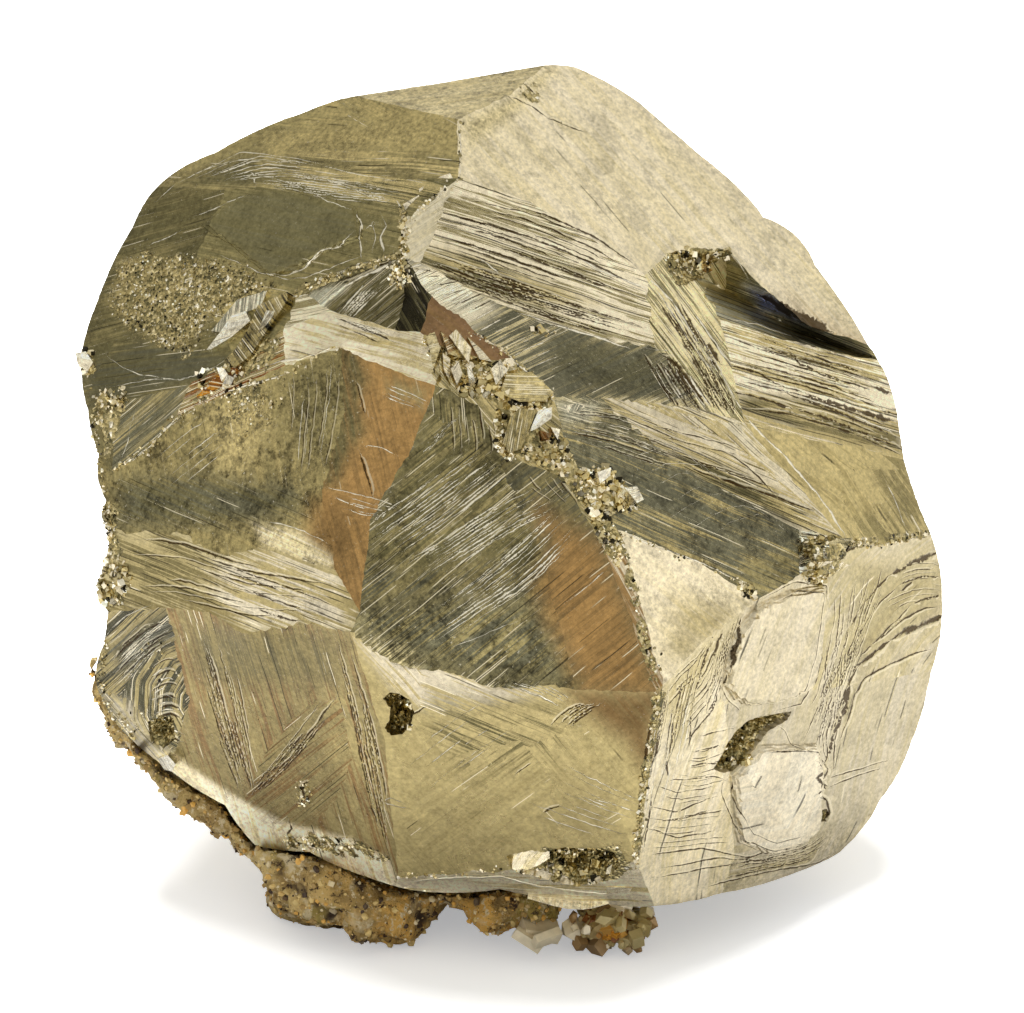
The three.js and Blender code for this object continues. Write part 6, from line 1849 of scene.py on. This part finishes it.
def add_stage():
    bpy.ops.mesh.primitive_plane_add(size=FLOOR_SIZE)
    floor = bpy.context.object
    floor.name = "floor"
    material = bpy.data.materials.new("pale_floor")
    g = Graph(material)
    seen = g.node("ShaderNodeLightPath").outputs["Is Camera Ray"]
    tint = g.range(g.noise(g.here(), 3.0, 2.0), 0.3, 0.7, 0.9, 0.93)
    tint = g.mul(tint, g.mul_add(seen, 1 - FLOOR_IN_METAL, FLOOR_IN_METAL))
    shader = g.node(
        "ShaderNodeBsdfPrincipled",
        {"Base Color": g.join(tint, tint, tint), "Roughness": 0.9, "Specular IOR Level": 0.2,
         "Emission Color": (0.97, 0.98, 1.0, 1.0), "Emission Strength": g.mul(seen, FLOOR_GLOW)},
    )
    g.node("ShaderNodeOutputMaterial", {"Surface": shader.outputs[0]})
    floor.data.materials.append(material)


# The studio is bright or dim by direction: the direction, inner and outer half angle in degrees, brightness
# and share.
STUDIO_BASE = (0.86, 0.855, 0.83)
STUDIO = [
    ((0.72, 0.42, 0.56), 20, 46, (0.98, 0.97, 0.94), 0.9),
    ((0.0, 0.25, 1.0), 14, 36, (1.0, 1.0, 0.98), 0.7),
    ((0.97, 0.0, 0.2), 8, 26, (0.95, 0.94, 0.9), 0.7),
    ((0.0, 0.95, 0.35), 12, 40, (0.95, 0.94, 0.9), 0.7),
    ((-0.77, 0.15, 0.62), 14, 40, (0.56, 0.55, 0.51), 0.85),
    ((-0.95, -0.3, 0.08), 6, 24, (1.0, 0.97, 0.88), 0.7),
    ((0.06, -0.96, 0.26), 16, 50, (0.69, 0.68, 0.64), 0.9),
    ((0.8, -0.4, 0.45), 6, 18, (1.2, 1.17, 1.08), 0.8),
    ((0.84, 0.08, 0.55), 5, 14, (0.55, 0.56, 0.58), 0.6),
]
# The lamp above, in metres.
LAMP_PLACE = (-0.03, 0.12, 0.78)
LAMP_AIM = (0.0, 0.0, 0.02)
LAMP_SIZE = 0.5
LAMP_WATTS = 17.0


def add_studio():
    world = bpy.data.worlds.new("studio")
    bpy.context.scene.world = world
    g = Graph(world)
    direction = g.node("ShaderNodeTexCoord").outputs["Generated"]
    color = (*STUDIO_BASE, 1.0)
    for aim, inner, outer, brightness, share in STUDIO:
        near = g.node("ShaderNodeVectorMath", {0: direction, 1: tuple(unit(aim))}, operation="DOT_PRODUCT")
        inside = g.range(near.outputs["Value"], math.cos(math.radians(outer)), math.cos(math.radians(inner)))
        color = g.mix(g.mul(inside, share), color, (*brightness, 1.0))
    path_kind = g.node("ShaderNodeLightPath").outputs
    strength = g.mul_add(path_kind["Is Diffuse Ray"], -0.05, 1.0)
    light = g.node("ShaderNodeBackground", {"Color": color, "Strength": strength}).outputs[0]
    plain = g.node("ShaderNodeBackground", {"Color": (1.0, 1.0, 1.0, 1.0), "Strength": 1.0}).outputs[0]
    seen = path_kind["Is Camera Ray"]
    both = g.node("ShaderNodeMixShader", {0: seen, 1: light, 2: plain}).outputs[0]
    g.node("ShaderNodeOutputWorld", {"Surface": both})
    lamp = bpy.data.lights.new("overhead", "AREA")
    lamp.shape = "DISK"
    lamp.size = LAMP_SIZE
    lamp.energy = LAMP_WATTS
    lamp_object = bpy.data.objects.new("overhead", lamp)
    lamp_object.location = LAMP_PLACE
    aim = Vector(LAMP_AIM) - lamp_object.location
    lamp_object.rotation_euler = aim.to_track_quat("-Z", "Y").to_euler()
    lamp_object.visible_glossy = False
    bpy.context.scene.collection.objects.link(lamp_object)


def add_camera():
    camera = bpy.data.cameras.new("camera")
    camera.sensor_width = SENSOR_WIDTH
    camera.lens = SENSOR_WIDTH * VIEW_DISTANCE / (PICTURE_WIDTH * MM_PER_UNIT)
    camera.clip_start = 0.01
    holder = bpy.data.objects.new("camera", camera)
    holder.location = Vector((BODY_CENTRE + TOWARD * VIEW_DISTANCE) * MM)
    holder.rotation_euler = Vector(-TOWARD).to_track_quat("-Z", "Y").to_euler()
    bpy.context.scene.collection.objects.link(holder)
    bpy.context.scene.camera = holder


def main():
    add_camera()
    add_studio()
    add_stage()
    metal = metal_material()
    pyrite, places, points, triangles = build_pyrite()
    pyrite.data.materials.append(metal)
    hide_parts("pyrite_crystal")
    pieces = [pyrite, *add_crystals(Front(places, points, triangles), metal), *add_matrix(), *add_cluster()]
    for piece in pieces:
        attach(piece, "root")
    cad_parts["base_plates"].data.materials.clear()
    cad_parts["base_plates"].data.materials.append(
        druse_material("pale_plate", ["cream", "silver", "pale_gold"], 0.4, 0.3)
    )
    scene = bpy.context.scene
    scene.view_settings.view_transform = "Standard"
    scene.cycles.use_denoising = True


main()
